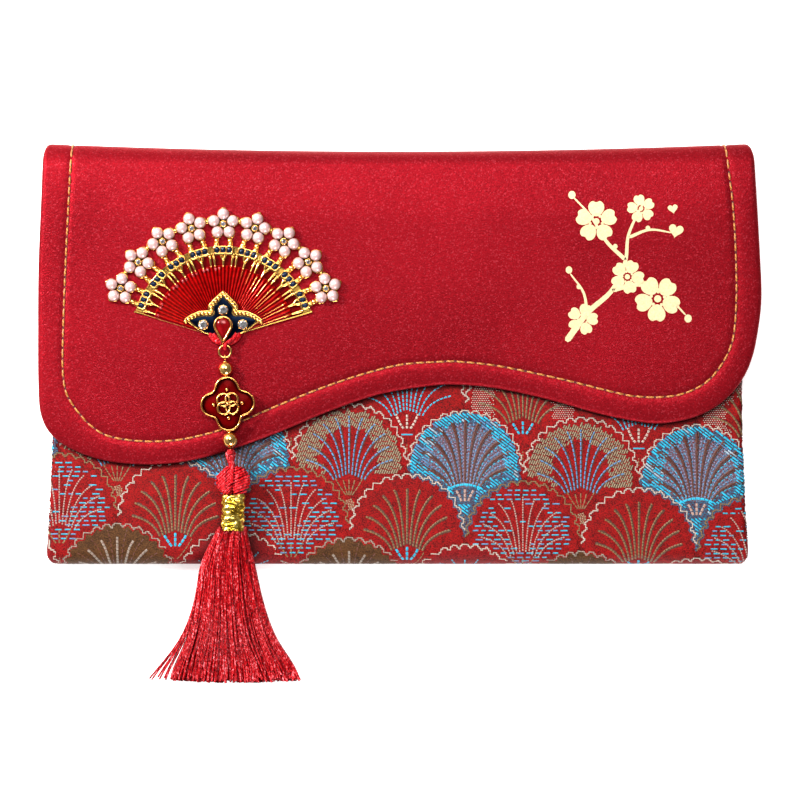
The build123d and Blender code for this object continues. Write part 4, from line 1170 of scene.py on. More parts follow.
def fan_figure(c, kind, h):
    """One fan of the pattern, at cloth point c (its rim's centre)."""
    c = np.asarray(c, float)
    rim = scallop(c)
    foot = np.array([[-FAN_RADIUS * 0.98, -3.0], [-9.5, -9.0], [-4.5, -14.0], [0, -18.6], [4.5, -14.0], [9.5, -9.0], [FAN_RADIUS * 0.98, -3.0]])
    foot = resample(foot, step=0.5) + c
    ground = {"turquoise": "turquoise", "brown": "brown", "darkblue": "dark"}.get(kind, "red")
    PATCHES[ground].append((np.concatenate([rim, foot]), h))
    jitter = random.Random(int(c[0] * 7 + c[1] * 131) & 0xFFFF)
    rim_kind = {"dash": "khaki", "brown": "grey"}.get(kind, "cream")
    stepped_rim(rim_kind, c, h + 0.06)
    if kind != "hatch":
        dashes("khaki", np.array([[0, -12.4], [0, -17.0]]) + c, 0.5, 0.3, 0.36, h + 0.04)
    us = np.linspace(-1, 1, 11)
    if kind == "turquoise":
        a = np.radians(np.linspace(-2, 182, 60))
        r = FAN_RADIUS * (0.78 + 0.03 * np.cos(np.linspace(0, 26 * math.pi, 60)))
        heart = np.concatenate([np.stack([r * np.cos(a), r * np.sin(a)], 1), [[-8.0, -3.4], [-4.4, -5.2], [0, -6.0], [4.4, -5.2], [8.0, -3.4]]])
        PATCHES["heart"].append((heart + c, h + 0.03))
        # long floats that all slant one way: along the rim on one side, across it on the other
        way = np.array([math.cos(math.radians(-38)), math.sin(math.radians(-38))])
        over = np.array([-way[1], way[0]])

        def in_blue(q):
            r, ang = math.hypot(*q), math.degrees(math.atan2(q[1], q[0])) % 360
            if q[1] > -2.2 or ang < 20 or ang > 340:
                low = float(np.interp(ang if ang < 270 else ang - 360, [-20, 50, 90, 130, 200], [0.66, 0.72, 0.80, 0.66, 0.52]))
                return low * FAN_RADIUS < r < FAN_RADIUS - 0.75
            if abs(q[0]) < 2.5 + 0.16 * (q[1] + 9) and -9.6 < q[1] < -4.4:
                return False
            if q[1] > -4.6 and abs(q[0]) < 6.6:
                return False
            return r < 21

        for row in np.arange(-24, 24, 0.70):
            t = -24 + jitter.random() * 2
            while t < 24:
                q = row * over + t * way
                for ln in (jitter.uniform(1.5, 3.0), jitter.uniform(0.7, 1.1)):
                    w = q + way * ln
                    line = np.stack([q, (q + w) / 2, w])
                    if all(in_blue(e) for e in line) and not covered(line + c):
                        pick = jitter.random()
                        if pick < 0.93:
                            float_thread("cyan" if pick < 0.64 else "steel" if pick < 0.74 else "silver" if pick < 0.85 else "blue", line + c, jitter.uniform(0.36, 0.52), h + 0.06, 0.26)
                        t += ln + 0.22
                        break
                else:
                    t += 0.3
        for i, u in enumerate(us):
            dashes("bark", plume(c, u, 0.87), 2.6, 0.12, 0.66, h + 0.11, 0, 0.14)
            dashes("umber", plume(c, u + 0.028, 0.86), 1.4, 0.3, 0.30, h + 0.17, jitter.random(), 0.14)
            if i != 5:
                dashes("steel", plume(c, u - 0.060 * np.sign(u), 0.84), 0.55, 0.55, 0.32, h + 0.10, jitter.random(), 0.14)
                if abs(u) > 0.5:
                    dashes("cyan", plume(c, u + 0.060 * np.sign(u), 0.82), 0.6, 0.75, 0.30, h + 0.10, jitter.random(), 0.14)
            if i < 10:
                for e in (0.07, 0.13):
                    dashes("mauve", plume(c, u + e + 0.01, 0.80), 0.36, 0.50, 0.40, h + 0.08, jitter.random() * 0.5, 0.10)
        for u in (-1, 0, 1):
            dashes("rose", bezier2(c + (u * 0.9, -8.8), c + (u * 1.4, -7.3), c + (u * 2.3, -5.5 - 0.4 * abs(u)), 6), 0.9, 0.22, 0.62, h + 0.09)
        dashes("cyan", bezier2(c + (-4.6, -5.6), c + (0, -3.2), c + (4.6, -5.6), 12), 1.0, 0.15, 0.6, h + 0.12)
    elif kind == "hatch":
        way = np.array([math.cos(math.radians(66)), math.sin(math.radians(66))])
        over = np.array([-way[1], way[0]])
        for row in np.arange(-16, 16, 0.56):
            t = -17 + jitter.random()
            while t < 17:
                ln = jitter.uniform(0.8, 1.7)
                q = row * over + t * way
                r = math.hypot(*(q + way * ln / 2))
                side = abs(math.atan2(q[0], q[1] + 3.0)) / (math.pi / 2)
                if max(math.hypot(*q), math.hypot(*(q + way * ln))) < FAN_RADIUS - 1.3 and q[1] > -3.5 and r > FAN_RADIUS * (0.66 - 0.16 * side) + jitter.uniform(-1.0, 1.0):
                    line = np.stack([q, q + way * ln]) + c
                    float_thread("umber", line, 0.60, h + 0.065, 0.02)
                    float_thread("tan", line, 0.32, h + 0.07, 0.12)
                    t += ln + 0.28
                else:
                    t += 0.3
        for i, u in enumerate(us):
            dashes("umber", plume(c, u + 0.024, 0.79), 2.0, 0.1, 0.50, h + 0.07, 0, 0.06)
            dashes("steel", plume(c, u, 0.78), 0.90, 0.30, 0.36, h + 0.11, jitter.random() * 0.4)
        for u in (-1, -0.45, 0, 0.45, 1):
            dashes("khaki", bezier2(c + (u * 0.8, -9.0), c + (u * 2.4, -7), c + (u * 3.6, -4.6), 6), 1.2, 0.25, 0.36, h + 0.05)
        for k in range(-3, 4):
            w = 1.5 * math.sqrt(max(0.0, 1 - (k / 3.6) ** 2))
            dashes("tan", np.array([[-w, k * 0.42 - 11.6 - 0.25], [w, k * 0.42 - 11.6 + 0.25]]) + c, 0.42, 0.18, 0.30, h + 0.05)
    elif kind == "khaki":
        for u in us:
            # dark umber edging under each khaki plume: partly a woven outline, partly painted shadow
            dashes("umber", plume(c, u + 0.012, 0.76), 1.6, 0.05, 0.98, h + 0.04, 0, 0.05)
            dashes("khaki", plume(c, u, 0.75), 0.60, 0.20, 0.46, h + 0.07, jitter.random() * 0.3)
        for u in (-1, 0, 1):
            dashes("blue", bezier2(c + (u * 0.9, -7.6), c + (u * 2.0, -6.4), c + (u * 2.9, -4.6 + 0.5 * (u == 0)), 6), 1.0, 0.25, 0.66, h + 0.06)
        for u in (-1, 1):
            dashes("khaki", bezier2(c + (u * 0.4, -11.0), c + (u * 2.6, -9.0), c + (u * 4.4, -5.6), 7), 0.9, 0.3, 0.30, h + 0.05)
    elif kind == "dash":
        for row in np.arange(-7.4, 14.2, 1.18):
            x = -15.0 + 0.9 * (int(round(row / 1.18)) % 3)
            while x < 15:
                ln = jitter.uniform(1.1, 1.9)
                if in_fan((x, row), 1.7) and in_fan((x + ln, row), 1.7):
                    a = math.degrees(math.atan2(x + ln / 2, row + 4.0))
                    if abs(a) > 42 or row > 9.4 or jitter.random() < 0.35:
                        line = np.array([[x, row], [x + ln, row + jitter.uniform(-0.05, 0.05)]]) + c
                        # painted shadow: a dark float under each dash, shifted a little down the cloth
                        float_thread("dash_shadow", line + [[-0.15, -0.09], [0.15, -0.09]], 0.66, h + 0.045, 0.02)
                        float_thread("blue" if jitter.random() < 0.6 else "steel", line, 0.36, h + 0.06, 0.14)
                x += ln + 0.80
        for u in us:
            dashes("rose", plume(c, u, 0.74), 0.46, 0.20, 0.36, h + 0.08, jitter.random() * 0.3)
        for u in (-1, 0, 1):
            dashes("khaki", bezier2(c + (u * 0.9, -8.6), c + (u * 2.2, -7.0), c + (u * 3.1, -4.8), 6), 1.0, 0.3, 0.42, h + 0.06)
    elif kind == "brown":
        for u in np.linspace(-1, 1, 9):
            dashes("dark", plume(c, u, 0.78), 1.6, 0.05, 1.25, h + 0.02, 0, 0.05)
            dashes("grey", plume(c, u, 0.76), 0.80, 0.14, 0.66, h + 0.05, jitter.random() * 0.3)
        for u in np.linspace(-0.88, 0.88, 8):
            dashes("dark", plume(c, u, 0.90), 0.9, 0.5, 0.30, h + 0.04, 0)
    elif kind == "darkblue":
        for u in us:
            dashes("blue", plume(c, u, 0.76), 0.80, 0.30, 0.42, h + 0.05, jitter.random() * 0.4)
    elif kind == "bluetop":
        for u in us:
            dashes("blue", plume(c, u, 0.76), 0.80, 0.28, 0.44, h + 0.05, jitter.random() * 0.4)
        for u in (-1, 0, 1):
            dashes("cream", bezier2(c + (u * 0.9, -8.2), c + (u * 2.0, -7.0), c + (u * 2.9, -4.4), 6), 0.7, 0.28, 0.62, h + 0.06)
        for k in range(4):
            float_thread("blue", np.array([[-1.5 + 0.25 * k, -9.8 - 0.85 * k], [1.5 - 0.25 * k, -9.8 - 0.85 * k]]) + c, 0.45, h + 0.05)
    elif kind == "dots":
        for i in range(-24, 25):
            for j in range(-8, 28):
                q = np.array([i * 0.60 + 0.30 * (j % 2), j * 0.52])
                r = math.hypot(*q)
                if r < FAN_RADIUS - 1.7 and r > 8.0 + jitter.uniform(-1.2, 1.2) and q[1] > -4:
                    float_thread("cream", np.array([q - (0.15, 0), q + (0.15, 0)]) + c, 0.24, h + 0.07, 0.09)
        for u in us:
            # dark umber edging under each khaki plume: partly a woven outline, partly painted shadow
            dashes("umber", plume(c, u + 0.010, 0.77), 1.6, 0.05, 0.80, h + 0.04, 0, 0.05)
            dashes("khaki", plume(c, u, 0.76), 0.95, 0.20, 0.44, h + 0.07, jitter.random() * 0.3)
        for u in (-1, 0, 1):
            dashes("blue", bezier2(c + (u * 0.9, -7.8), c + (u * 2.0, -6.4), c + (u * 2.9, -4.4), 6), 0.9, 0.28, 0.6, h + 0.06)


def make_pattern():
    x_ref, apex_ref = 17.82, -14.52          # the apex of one turquoise fan
    kinds = {0: ("turquoise", "hatch"), 1: ("khaki", "dash"), 2: ("darkblue", "brown"), 3: ("bluetop", "dots")}
    places = []
    for row in range(-4, 5):
        shift = -FAN_PITCH / 2 if row % 2 else 0.0
        for col in range(-4, 5):
            x = x_ref + shift + col * FAN_PITCH
            apex = apex_ref - row * ROW_PITCH - ROW_SLOPE * (x - x_ref)
            places.append((row, kinds[row % 4][col % 2], x, apex - FAN_RADIUS))
    for row, kind, x, y in places:
        if abs(x) > 93 + FAN_RADIUS or y > 60 or y + FAN_RADIUS < -66:
            continue
        COVER[:] = [(cx, cy) for r2, _, cx, cy in places if row < r2 <= row + 3 and abs(cx - x) < 2.2 * FAN_RADIUS]
        fan_figure((x, y), kind, 0.02 + 0.036 * (row + 4))
    # grounds of the fans
    for kind, mat in (("red", ground_red), ("turquoise", ground_turquoise), ("brown", ground_brown), ("dark", ground_dark), ("heart", ground_heart)):
        acc = Acc()
        for poly, h in PATCHES[kind]:
            lo, hi = poly.min(0), poly.max(0)
            cloud = hex_points(lo[0] + 0.6, hi[0] - 0.6, lo[1] + 0.6, hi[1] - 0.6, 1.25)
            roll = BODY_BOTTOM_Y + 0.8
            if lo[1] < roll:
                fine = hex_points(lo[0] + 0.3, hi[0] - 0.3, lo[1] + 0.3, min(hi[1], roll), 0.5)
                cloud = np.concatenate([cloud[cloud[:, 1] > roll], fine])
            cloud = cloud[inside(cloud, poly)]
            xy, tri = fill_region(poly, cloud)
            mid = xy[tri].mean(1)
            ok = (np.abs(mid[:, 0]) < 93.3) & (mid[:, 1] > -64.5) & (mid[:, 1] < 42)
            if not ok.any():
                continue
            edge, _, _ = line_distance(xy, np.concatenate([poly, poly[:1]]))
            acc.add(front_cloth(xy[:, 0], xy[:, 1], h + 0.05 * smooth01(edge / 1.2) - 0.03 * (edge < 0.05)), tri[ok])
        if acc.n:
            acc.obj("brocade_ground_" + kind, mat, "pouch", "brocade")
    # threads
    mats = {"blue": float_blue, "cyan": float_cyan, "cream": float_cream, "khaki": float_khaki, "tan": float_tan, "grey": float_grey, "mauve": float_mauve, "dark": float_dark, "dash_shadow": float_dash_shadow, "umber": float_umber, "steel": float_steel, "bark": float_bark, "rose": float_rose, "silver": float_silver}
    for kind, items in THREADS.items():
        if not items:
            continue
        flat, faces, n = [], [], 0
        for p, w, h, rise in items:
            nrm = normals2d(p)
            m = len(p)
            end = np.full(m, 1.0)
            end[0] = end[-1] = 0.35
            rows = np.stack([np.column_stack([p + nrm * w, np.full(m, h - 0.02)]),
                             np.column_stack([p + nrm * w * 0.5, h + rise * 0.8 * end]),
                             np.column_stack([p - nrm * w * 0.5, h + rise * 0.8 * end]),
                             np.column_stack([p - nrm * w, np.full(m, h - 0.02)])], 1)
            flat.append(rows.reshape(-1, 3))
            faces.append(grid_faces(m, 4, flip=True) + n)
            n += 4 * m
        flat = np.concatenate(flat)
        acc = Acc()
        acc.add(front_cloth(flat[:, 0], flat[:, 1], flat[:, 2]), np.concatenate(faces))
        acc.obj("brocade_floats_" + kind, mats[kind], "pouch", "brocade")


make_pattern()


def make_gussets():
    """Side gussets: a strip of cloth creased inwards between the front and the back."""
    for sg, name, node in ((-1, "left_gusset_cloth", "left_gusset"), (1, "right_gusset_cloth", "right_gusset")):
        ys = np.linspace(BODY_BOTTOM_Y - 1.5, MOUTH_Y - 0.6, 60)
        prof = np.array([(-0.6, 6.55), (-1.6, 6.30), (-3.4, 5.45), (-5.4, 4.5), (-6.3, 4.1), (-6.5, 4.0), (-6.3, 3.9), (-5.4, 3.5), (-3.4, 2.55), (-1.6, 1.75), (-0.6, 1.5)])
        yy, kk = np.meshgrid(ys, np.arange(len(prof)), indexing="ij")
        dx = prof[kk, 0] * (1 + 0.05 * np.sin(yy / 5.3 + sg) * (np.abs(kk - 5) < 5))
        x = sg * (half_width(yy) + dx)
        acc = Acc()
        acc.add(np.stack([x, yy, prof[kk, 1]], 2).reshape(-1, 3), grid_faces(len(ys), len(prof), flip=(sg < 0)))
        o = acc.obj(name, lining, "pouch", "lining", replaces=[node])


make_gussets()


# ================================================================== stitching
def stitch_mesh(acc, holes, mid, tang, up, length=2.35, width=0.26, sink=0.26, rise=0.13):
    """A stitch: a thread that comes up from one hole and goes down into the next."""
    mid, tang, up = (np.asarray(a, float) for a in (mid, tang, up))
    t = np.linspace(-0.5, 0.5, 7)
    arch = np.array([-sink, 0.02, rise * 0.8, rise, rise * 0.8, 0.02, -sink])
    path = mid + t[:, None] * length * tang + arch[:, None] * up
    r = width * np.array([0.75, 0.95, 1.0, 1.0, 1.0, 0.95, 0.75])
    acc.add(*tube(path, r, 7, up=up, flat=0.85))
    if holes is not None:
        side = np.cross(up, tang)
        a = np.arange(8) / 8 * TAU
        for e in (-1, 1):
            c = mid + tang * e * (length / 2 + 0.12) - up * 0.02
            ring = c + 0.32 * (np.cos(a)[:, None] * tang * 1.15 + np.sin(a)[:, None] * side)
            holes.add(np.concatenate([ring, [c - up * 0.12]]), [(k, (k + 1) % 8, 8) for k in range(8)])


def make_stitching():
    run = np.concatenate([[0], np.cumsum(np.linalg.norm(np.diff(SEAM, axis=0), axis=1))])
    places = np.arange(1.2, run[-1] - 0.8, 2.68)
    xy = np.stack([np.interp(places, run, SEAM[:, k]) for k in (0, 1)], 1)
    ahead = np.stack([np.interp(places + 0.3, run, SEAM[:, k]) for k in (0, 1)], 1)
    tang = ahead - xy
    tang /= np.linalg.norm(tang, axis=1)[:, None]
    z = flap_height(xy)
    acc, holes, below = Acc(), Acc(), Acc()
    for p, t, h in zip(xy, tang, z):
        a = rnd.uniform(-0.03, 0.03)
        t2 = np.array([t[0] * math.cos(a) - t[1] * math.sin(a), t[0] * math.sin(a) + t[1] * math.cos(a), 0])
        stitch_mesh(acc, holes, (p[0], p[1], h + 0.12), t2, (0, 0, 1), 1.95 + rnd.uniform(-0.12, 0.12))
        stitch_mesh(below, None, (p[0], p[1], 8.40), t2, (0, 0, -1), 1.95, 0.22, 0.2, 0.06)
    acc.obj("flap_stitches", gold_thread, "flap", "gold_thread", replaces=["flap_stitching"])
    holes.obj("flap_needle_holes", needle_hole_shade, "flap", "red_satin")
    below.obj("flap_stitches_under", gold_thread, "flap", "gold_thread")
    # over the fold, and down the back
    for name, a0, a1, ba, bb in (("fold_stitches_upper", 4, 88, "spine", "flap"), ("fold_stitches_lower", -88, -4, "pouch", "spine")):
        acc = Acc()
        for side in (-1, 1):
            for phi in np.arange(a0 + 12, a1, 34.0):
                def at(ph):
                    t = (ph + 90) / 180
                    left, right = -91.5 - 2.3 * smooth01(t), 91.5 + 2.9 * smooth01(t)
                    return fold_point((fold_seam(t, side) - left) / (right - left), ph)
                p0, p1 = at(phi - 2), at(phi + 2)
                tang3 = (p1 - p0) / np.linalg.norm(p1 - p0)
                mid = at(phi)
                up = np.array([0, mid[1] - FOLD_Y, mid[2] - FOLD_R])
                stitch_mesh(acc, None, mid + up / np.linalg.norm(up) * 0.12, tang3, up / np.linalg.norm(up), 2.3)
        o = acc.obj(name, gold_thread, None, "gold_thread")
        mid = (0, FOLD_Y + FOLD_R, FOLD_R)
        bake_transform(o)
    seam = BACK_SEAM
    run = np.concatenate([[0], np.cumsum(np.linalg.norm(np.diff(seam, axis=0), axis=1))])
    acc = Acc()
    for q in np.arange(1.5, run[-1] - 1, STITCH_PITCH):
        p = np.array([np.interp(q, run, seam[:, k]) for k in (0, 1)])
        a = np.array([np.interp(q + 0.3, run, seam[:, k]) for k in (0, 1)]) - p
        a /= np.linalg.norm(a)
        stitch_mesh(acc, None, (p[0], p[1], 0.30), (a[0], a[1], 0), (0, 0, -1), 2.4, 0.24, 0.2, 0.04)
    acc.obj("back_stitches", gold_thread, "pouch", "gold_thread", replaces=["back_stitching"])


make_stitching()


# ================================================================== foil ornament
def make_foil():
    """A plum-blossom spray and two hearts, stamped in foil."""
    acc = Acc()

    def lay(poly, step=1.3):
        poly = np.asarray(poly, float)
        lo, hi = poly.min(0), poly.max(0)
        cloud = hex_points(lo[0] + 0.4, hi[0] - 0.4, lo[1] + 0.4, hi[1] - 0.4, step)
        if len(cloud):
            cloud = cloud[inside(cloud, poly)]
        xy, tri = fill_region(poly, cloud)
        acc.add(on_plane(xy, flap_height(xy) + 0.035), tri)

    def stroke(pts, w0, w1, n=26):
        line = resample(catmull(pts, 10), n)
        nrm = normals2d(line)
        w = np.linspace(w0, w1, n) * 0.5
        w[0] *= 0.5
        w[-1] *= 0.4
        l, r = line + nrm * w[:, None], line - nrm * w[:, None]
        p = np.concatenate([l, r])
        acc.add(on_plane(p, flap_height(p) + 0.03), grid_faces(2, n, flip=True))

    def blossom(cx, cy, r, turn):
        t = np.linspace(0, TAU, 44, endpoint=False)
        for k in range(5):
            a = math.radians(turn + 72 * k)
            ax, ay = math.cos(a), math.sin(a)
            notch = 0.10 * r * (np.exp(-((t / 0.28) ** 2)) + np.exp(-(((TAU - t) / 0.28) ** 2)))
            px = 0.62 * r + 0.38 * r * np.cos(t) - notch
            py = 0.37 * r * np.sin(t) * (1 + 0.16 * np.cos(t))
            lay(np.stack([cx + ax * px - ay * py, cy + ay * px + ax * py], 1))
        for k in range(5):
            a = math.radians(turn + 72 * k + 36)
            q = np.linspace(0, TAU, 12, endpoint=False)
            lay(np.stack([cx + 0.30 * r * math.cos(a) + 0.07 * r * np.cos(q), cy + 0.30 * r * math.sin(a) + 0.07 * r * np.sin(q)], 1))
        q = np.linspace(0, TAU, 24, endpoint=False)
        lay(np.stack([cx + 0.15 * r * np.cos(q), cy + 0.15 * r * np.sin(q)], 1))

    def bud(cx, cy, r):
        t = np.linspace(0, TAU, 24, endpoint=False)
        lay(np.stack([cx + r * np.cos(t), cy + r * 1.12 * np.sin(t)], 1))

    def heart(cx, cy, w, turn):
        t = np.linspace(0, TAU, 60, endpoint=False)
        hx = 16 * np.sin(t) ** 3 / 32 * w
        hy = (13 * np.cos(t) - 5 * np.cos(2 * t) - 2 * np.cos(3 * t) - np.cos(4 * t)) / 32 * w
        a = math.radians(turn)
        lay(np.stack([cx + hx * math.cos(a) - hy * math.sin(a), cy + hx * math.sin(a) + hy * math.cos(a)], 1))

    stroke([(44.5, 3.6), (50.0, 11.0), (56.5, 17.0), (60.0, 24.5), (61.0, 32.0), (65.0, 40.5)], 1.7, 0.5, 60)
    stroke([(56.5, 17.0), (63.5, 18.5), (70.0, 16.5), (76.0, 10.5)], 1.2, 0.4, 36)
    stroke([(60.2, 25.0), (55.0, 30.0), (51.0, 36.5), (46.5, 41.5)], 1.1, 0.4, 36)
    stroke([(61.0, 31.0), (66.5, 33.0), (72.5, 32.2)], 0.9, 0.35, 24)
    stroke([(50.0, 11.0), (49.0, 16.5), (45.5, 21.5)], 0.9, 0.35, 24)
    blossom(52.4, 35.2, 5.6, 18)
    blossom(68.6, 14.8, 6.2, 50)
    blossom(60.6, 20.6, 4.6, -6)
    blossom(64.2, 38.6, 3.8, 30)
    blossom(48.8, 9.4, 4.2, 74)
    for x, y, r in ((46.0, 42.2, 0.95), (45.2, 22.4, 0.85), (76.6, 9.6, 0.95), (47.8, 18.0, 0.6), (66.0, 33.4, 0.6), (57.4, 28.6, 0.6), (73.6, 13.0, 0.6)):
        bud(x, y, r)
    heart(73.4, 32.8, 3.9, -12)
    heart(72.6, 38.6, 2.6, 10)
    acc.obj("foil_ornament", foil, "flap", "gold_thread")


make_foil()

# ================================================================== fan brooch
FLOWER_ANGLES = [90 + 16.1 * (k - 4) for k in range(9)]
FLOWER_R, PETAL_RING, PEARL_R = 30.0, 2.60, 1.49


def arc3(r, a0, a1, z, n):
    a = np.linspace(a0, a1, n)
    return on_plane(polar(r, a), z)


def rounded_arc(fa, r0, r1, half, corner=0.45, n=7):
    """A round-cornered plate bent along the fan's arc."""
    mid, hr = (r0 + r1) / 2, (r1 - r0) / 2
    hl = math.radians(half) * mid
    pts = []
    for i, (sv, su) in enumerate(((1, -1), (1, 1), (-1, 1), (-1, -1))):
        q = np.radians(np.linspace(-90, 0, n) + 90 * i)
        pts.append(np.stack([sv * (hr - corner) + corner * np.cos(q), su * (hl - corner) + corner * np.sin(q)], 1))
    pts = np.concatenate(pts)
    return polar(mid + pts[:, 0], fa + np.degrees(pts[:, 1] / mid))


def oval_arc(fa, r, half_r, half_t, n=24):
    q = np.linspace(0, TAU, n, endpoint=False)
    dr = half_r * np.sign(np.cos(q)) * np.abs(np.cos(q)) ** 0.8
    dt = half_t * np.sign(np.sin(q)) * np.abs(np.sin(q)) ** 0.8
    return polar(r + dr, fa + np.degrees(dt / r))


BAND_R, STONE_STEP = 23.2, 4.05
JOINTS = [90 + 16.1 * (k - 4.5) for k in range(10)]


def make_fan():
    g, low = Acc(), Acc()
    # back plates under the band and the leaf
    a = np.linspace(17.2, 162.8, 90)
    low.add(*slab(np.concatenate([polar(24.2, a), polar(21.8, a[::-1])]), Z_PLATE, Z_LEAF - 0.15, 0.12))
    low.add(*slab(np.concatenate([polar(21.9, 18.6 + (a - 17.2) * 142.8 / 145.6), polar(3.0, (18.6 + (a - 17.2) * 142.8 / 145.6)[::-1])]), Z_PLATE, Z_LEAF - 0.2, 0.1))
    # flowers: five pointed cups, paired stems
    t = np.linspace(0, TAU, 40, endpoint=False)
    for fa in FLOWER_ANGLES:
        c = polar(FLOWER_R, fa)
        for k in range(5):
            ang = fa + 72 * k
            pc = polar(PETAL_RING, ang, c)
            delta = (t - math.radians(ang) + math.pi) % TAU - math.pi
            rr = 1.56 + 0.32 * np.exp(-((delta / 0.40) ** 2))
            g.add(*slab(np.stack([pc[0] + rr * np.cos(t), pc[1] + rr * np.sin(t)], 1), Z_PLATE, Z_LEAF + 0.15, 0.24))
            g.add(*torus((pc[0], pc[1], Z_LEAF + 0.26), 1.44, 0.16, 26, 6))
        g.add(*slab(np.stack([c[0] + 2.55 * np.cos(t), c[1] + 2.55 * np.sin(t)], 1), Z_PLATE, Z_LEAF + 0.12, 0.2))
        g.add(*lathe([(0.30, Z_LEAF), (0.95, Z_LEAF), (1.0, Z_LEAF + 0.5), (0.82, Z_LEAF + 0.95), (0.66, Z_LEAF + 0.85)], 16, (c[0], c[1], 0)))
        for k in range(4):
            q = polar(0.80, fa + 90 * k + 45, c)
            g.add(*ball((q[0], q[1], Z_LEAF + 1.0), 0.19, 7, 5))
        for side in (-1, 1):
            p = np.stack([polar(24.1, fa + side * 4.35), polar(25.6, fa + side * 3.95), polar(27.6, fa + side * 3.3)])
            path = resample(catmull(p, 6), 13)
            g.add(*tube(on_plane(path, Z_LEAF - 0.10), np.interp(np.linspace(0, 1, 13), [0, 0.45, 1], [0.84, 0.72, 0.80]), 10, flat=0.85))
            for r, off, size in ((24.75, 4.15, 0.50), (25.65, 3.92, 0.74), (26.55, 3.6, 0.55)):
                q = polar(r, fa + side * off)
                g.add(*ball((q[0], q[1], Z_LEAF + 0.22), size, 12, 8))
    for aa in JOINTS[1:-1]:
        q = polar(30.9, aa)
        g.add(*ball((q[0], q[1], Z_LEAF - 0.05), 0.64, 12, 8, (1, 1, 0.8)))
    # band: a raised plate with three stones under each flower, ribbed gaps between the plates
    for fa in FLOWER_ANGLES:
        g.add(*slab(rounded_arc(fa, 22.1, 24.35, 6.5, 0.5), Z_LEAF - 0.15, Z_LEAF + 0.30, 0.16))
        g.add(*tube(on_plane(rounded_arc(fa, 22.28, 24.17, 6.1, 0.42), Z_LEAF + 0.34), 0.20, 8, closed=True))
        for k in (-1, 0, 1):
            g.add(*tube(on_plane(oval_arc(fa + STONE_STEP * k, BAND_R, 0.90, 0.73), Z_LEAF + 0.36), 0.12, 7, closed=True))
        for k in (-0.5, 0.5):
            for r in (22.42, 23.98):
                q = polar(r, fa + STONE_STEP * k)
                g.add(*ball((q[0], q[1], Z_LEAF + 0.42), 0.26, 9, 6))
    for aa in JOINTS[1:-1]:
        for e in (-1.0, 0.0, 1.0):
            low.add(*tube(on_plane(np.stack([polar(r, aa + e) for r in np.linspace(22.0, 24.2, 5)]), Z_LEAF - 0.06), 0.17, 7))
    # straight edges of the fan
    for aa, sg, reach, w in ((163.5, 1, 18.0, 0.06), (16.5, -1, 8.2, 0.11)):
        p = np.stack([polar(24.5, aa), polar(21.0, aa), polar(reach, aa + 0.4 * sg), polar(5.0, aa + 3 * sg)])
        path = resample(catmull(p, 10), 46)
        rad = np.interp(np.hypot(*(path - FAN).T), [5, reach, reach + 2.5, 24.5], [0.03, w, w + 0.04, 0.22])
        low.add(*tube(on_plane(path, Z_LEAF + 0.1), rad, 8))
    g.obj("fan_casting", gold, "flap", "gold", replaces=["fan_frame"])
    # the lower pieces take the darker gold that paints their shade
    low.obj("fan_back_plate", gold_painted_shade, "flap", "gold")

    # openwork between the band and the leaf: a fork under each flower, a pair of bars under each gap
    n_pl, pitch = 45, 3.22
    a0, a1 = 90 - 22.5 * pitch, 90 + 22.5 * pitch
    g = Acc()
    for fa in FLOWER_ANGLES:
        for off in (-1.7, 1.7):
            p = np.stack([polar(22.2, fa + off), polar(21.4, fa + off * 0.75), polar(20.5, fa + off * 0.05)])
            g.add(*tube(on_plane(resample(catmull(p, 6), 9), Z_RIB - 0.15), np.linspace(0.44, 0.36, 9), 8))
        p = np.stack([polar(20.8, fa), polar(19.8, fa), polar(18.7, fa)])
        g.add(*tube(on_plane(resample(p, 7), np.linspace(Z_RIB - 0.12, Z_RIB + 0.14, 7)), np.linspace(0.46, 0.16, 7), 8))
        q = polar(20.7, fa)
        g.add(*ball((q[0], q[1], Z_RIB - 0.02), 0.50, 10, 7))
    for aa in JOINTS:
        for off in (-1.61, 1.61):
            if not 17.5 < aa + off < 162.5:
                continue
            p = np.stack([polar(22.2, aa + off * 0.8), polar(20.8, aa + off * 0.92), polar(18.8, aa + off)])
            g.add(*tube(on_plane(resample(p, 9), np.linspace(Z_RIB - 0.18, Z_RIB + 0.12, 9)), np.interp(np.linspace(0, 1, 9), [0, 0.5, 1], [0.42, 0.34, 0.14]), 8))
            q = polar(21.5, aa + off * 0.85)
            g.add(*ball((q[0], q[1], Z_RIB - 0.05), 0.48, 10, 7))
    g.obj("fan_sticks", gold, "flap", "gold", replaces=["fan_ribs"])

    # pleated enamel leaf; each pleat ends in a rounded lip
    aa = np.linspace(a0, a1, n_pl * 8 + 1)
    deep = np.interp(aa, np.linspace(a0, a1, n_pl + 1), np.random.default_rng(3).uniform(0.75, 1.1, n_pl + 1))

    def leaf_grid(rr):
        ra, an = np.meshgrid(rr, aa, indexing="ij")
        tri = 1 - np.abs(((an - a0) / pitch % 1) * 2 - 1)
        tri = np.sin(tri * math.pi / 2) ** 0.8 * deep
        lip = np.sqrt(np.clip(1 - (np.clip(ra - 18.2, 0, 0.95) / 0.95) ** 4, 0, 1))
        z = Z_LEAF - 0.14 + (0.10 + (0.16 + 0.46 * ra / 19) * tri) * lip
        return np.concatenate([polar(ra, an), z[..., None]], 2).reshape(-1, 3), grid_faces(len(rr), len(aa))

    leaf = Acc()
    leaf.add(*leaf_grid(np.linspace(4.0, 17.9, 16)))
    leaf.obj("fan_leaf_enamel", red_enamel, "flap", "red_enamel", replaces=["fan_leaf"])
    leaf = Acc()
    leaf.add(*leaf_grid(np.concatenate([[17.9], 18.2 + 0.95 * np.sin(np.linspace(0.0, 1, 8) * math.pi / 2)])))
    leaf.obj("fan_leaf_tips", red_lip, "flap", "red_enamel")
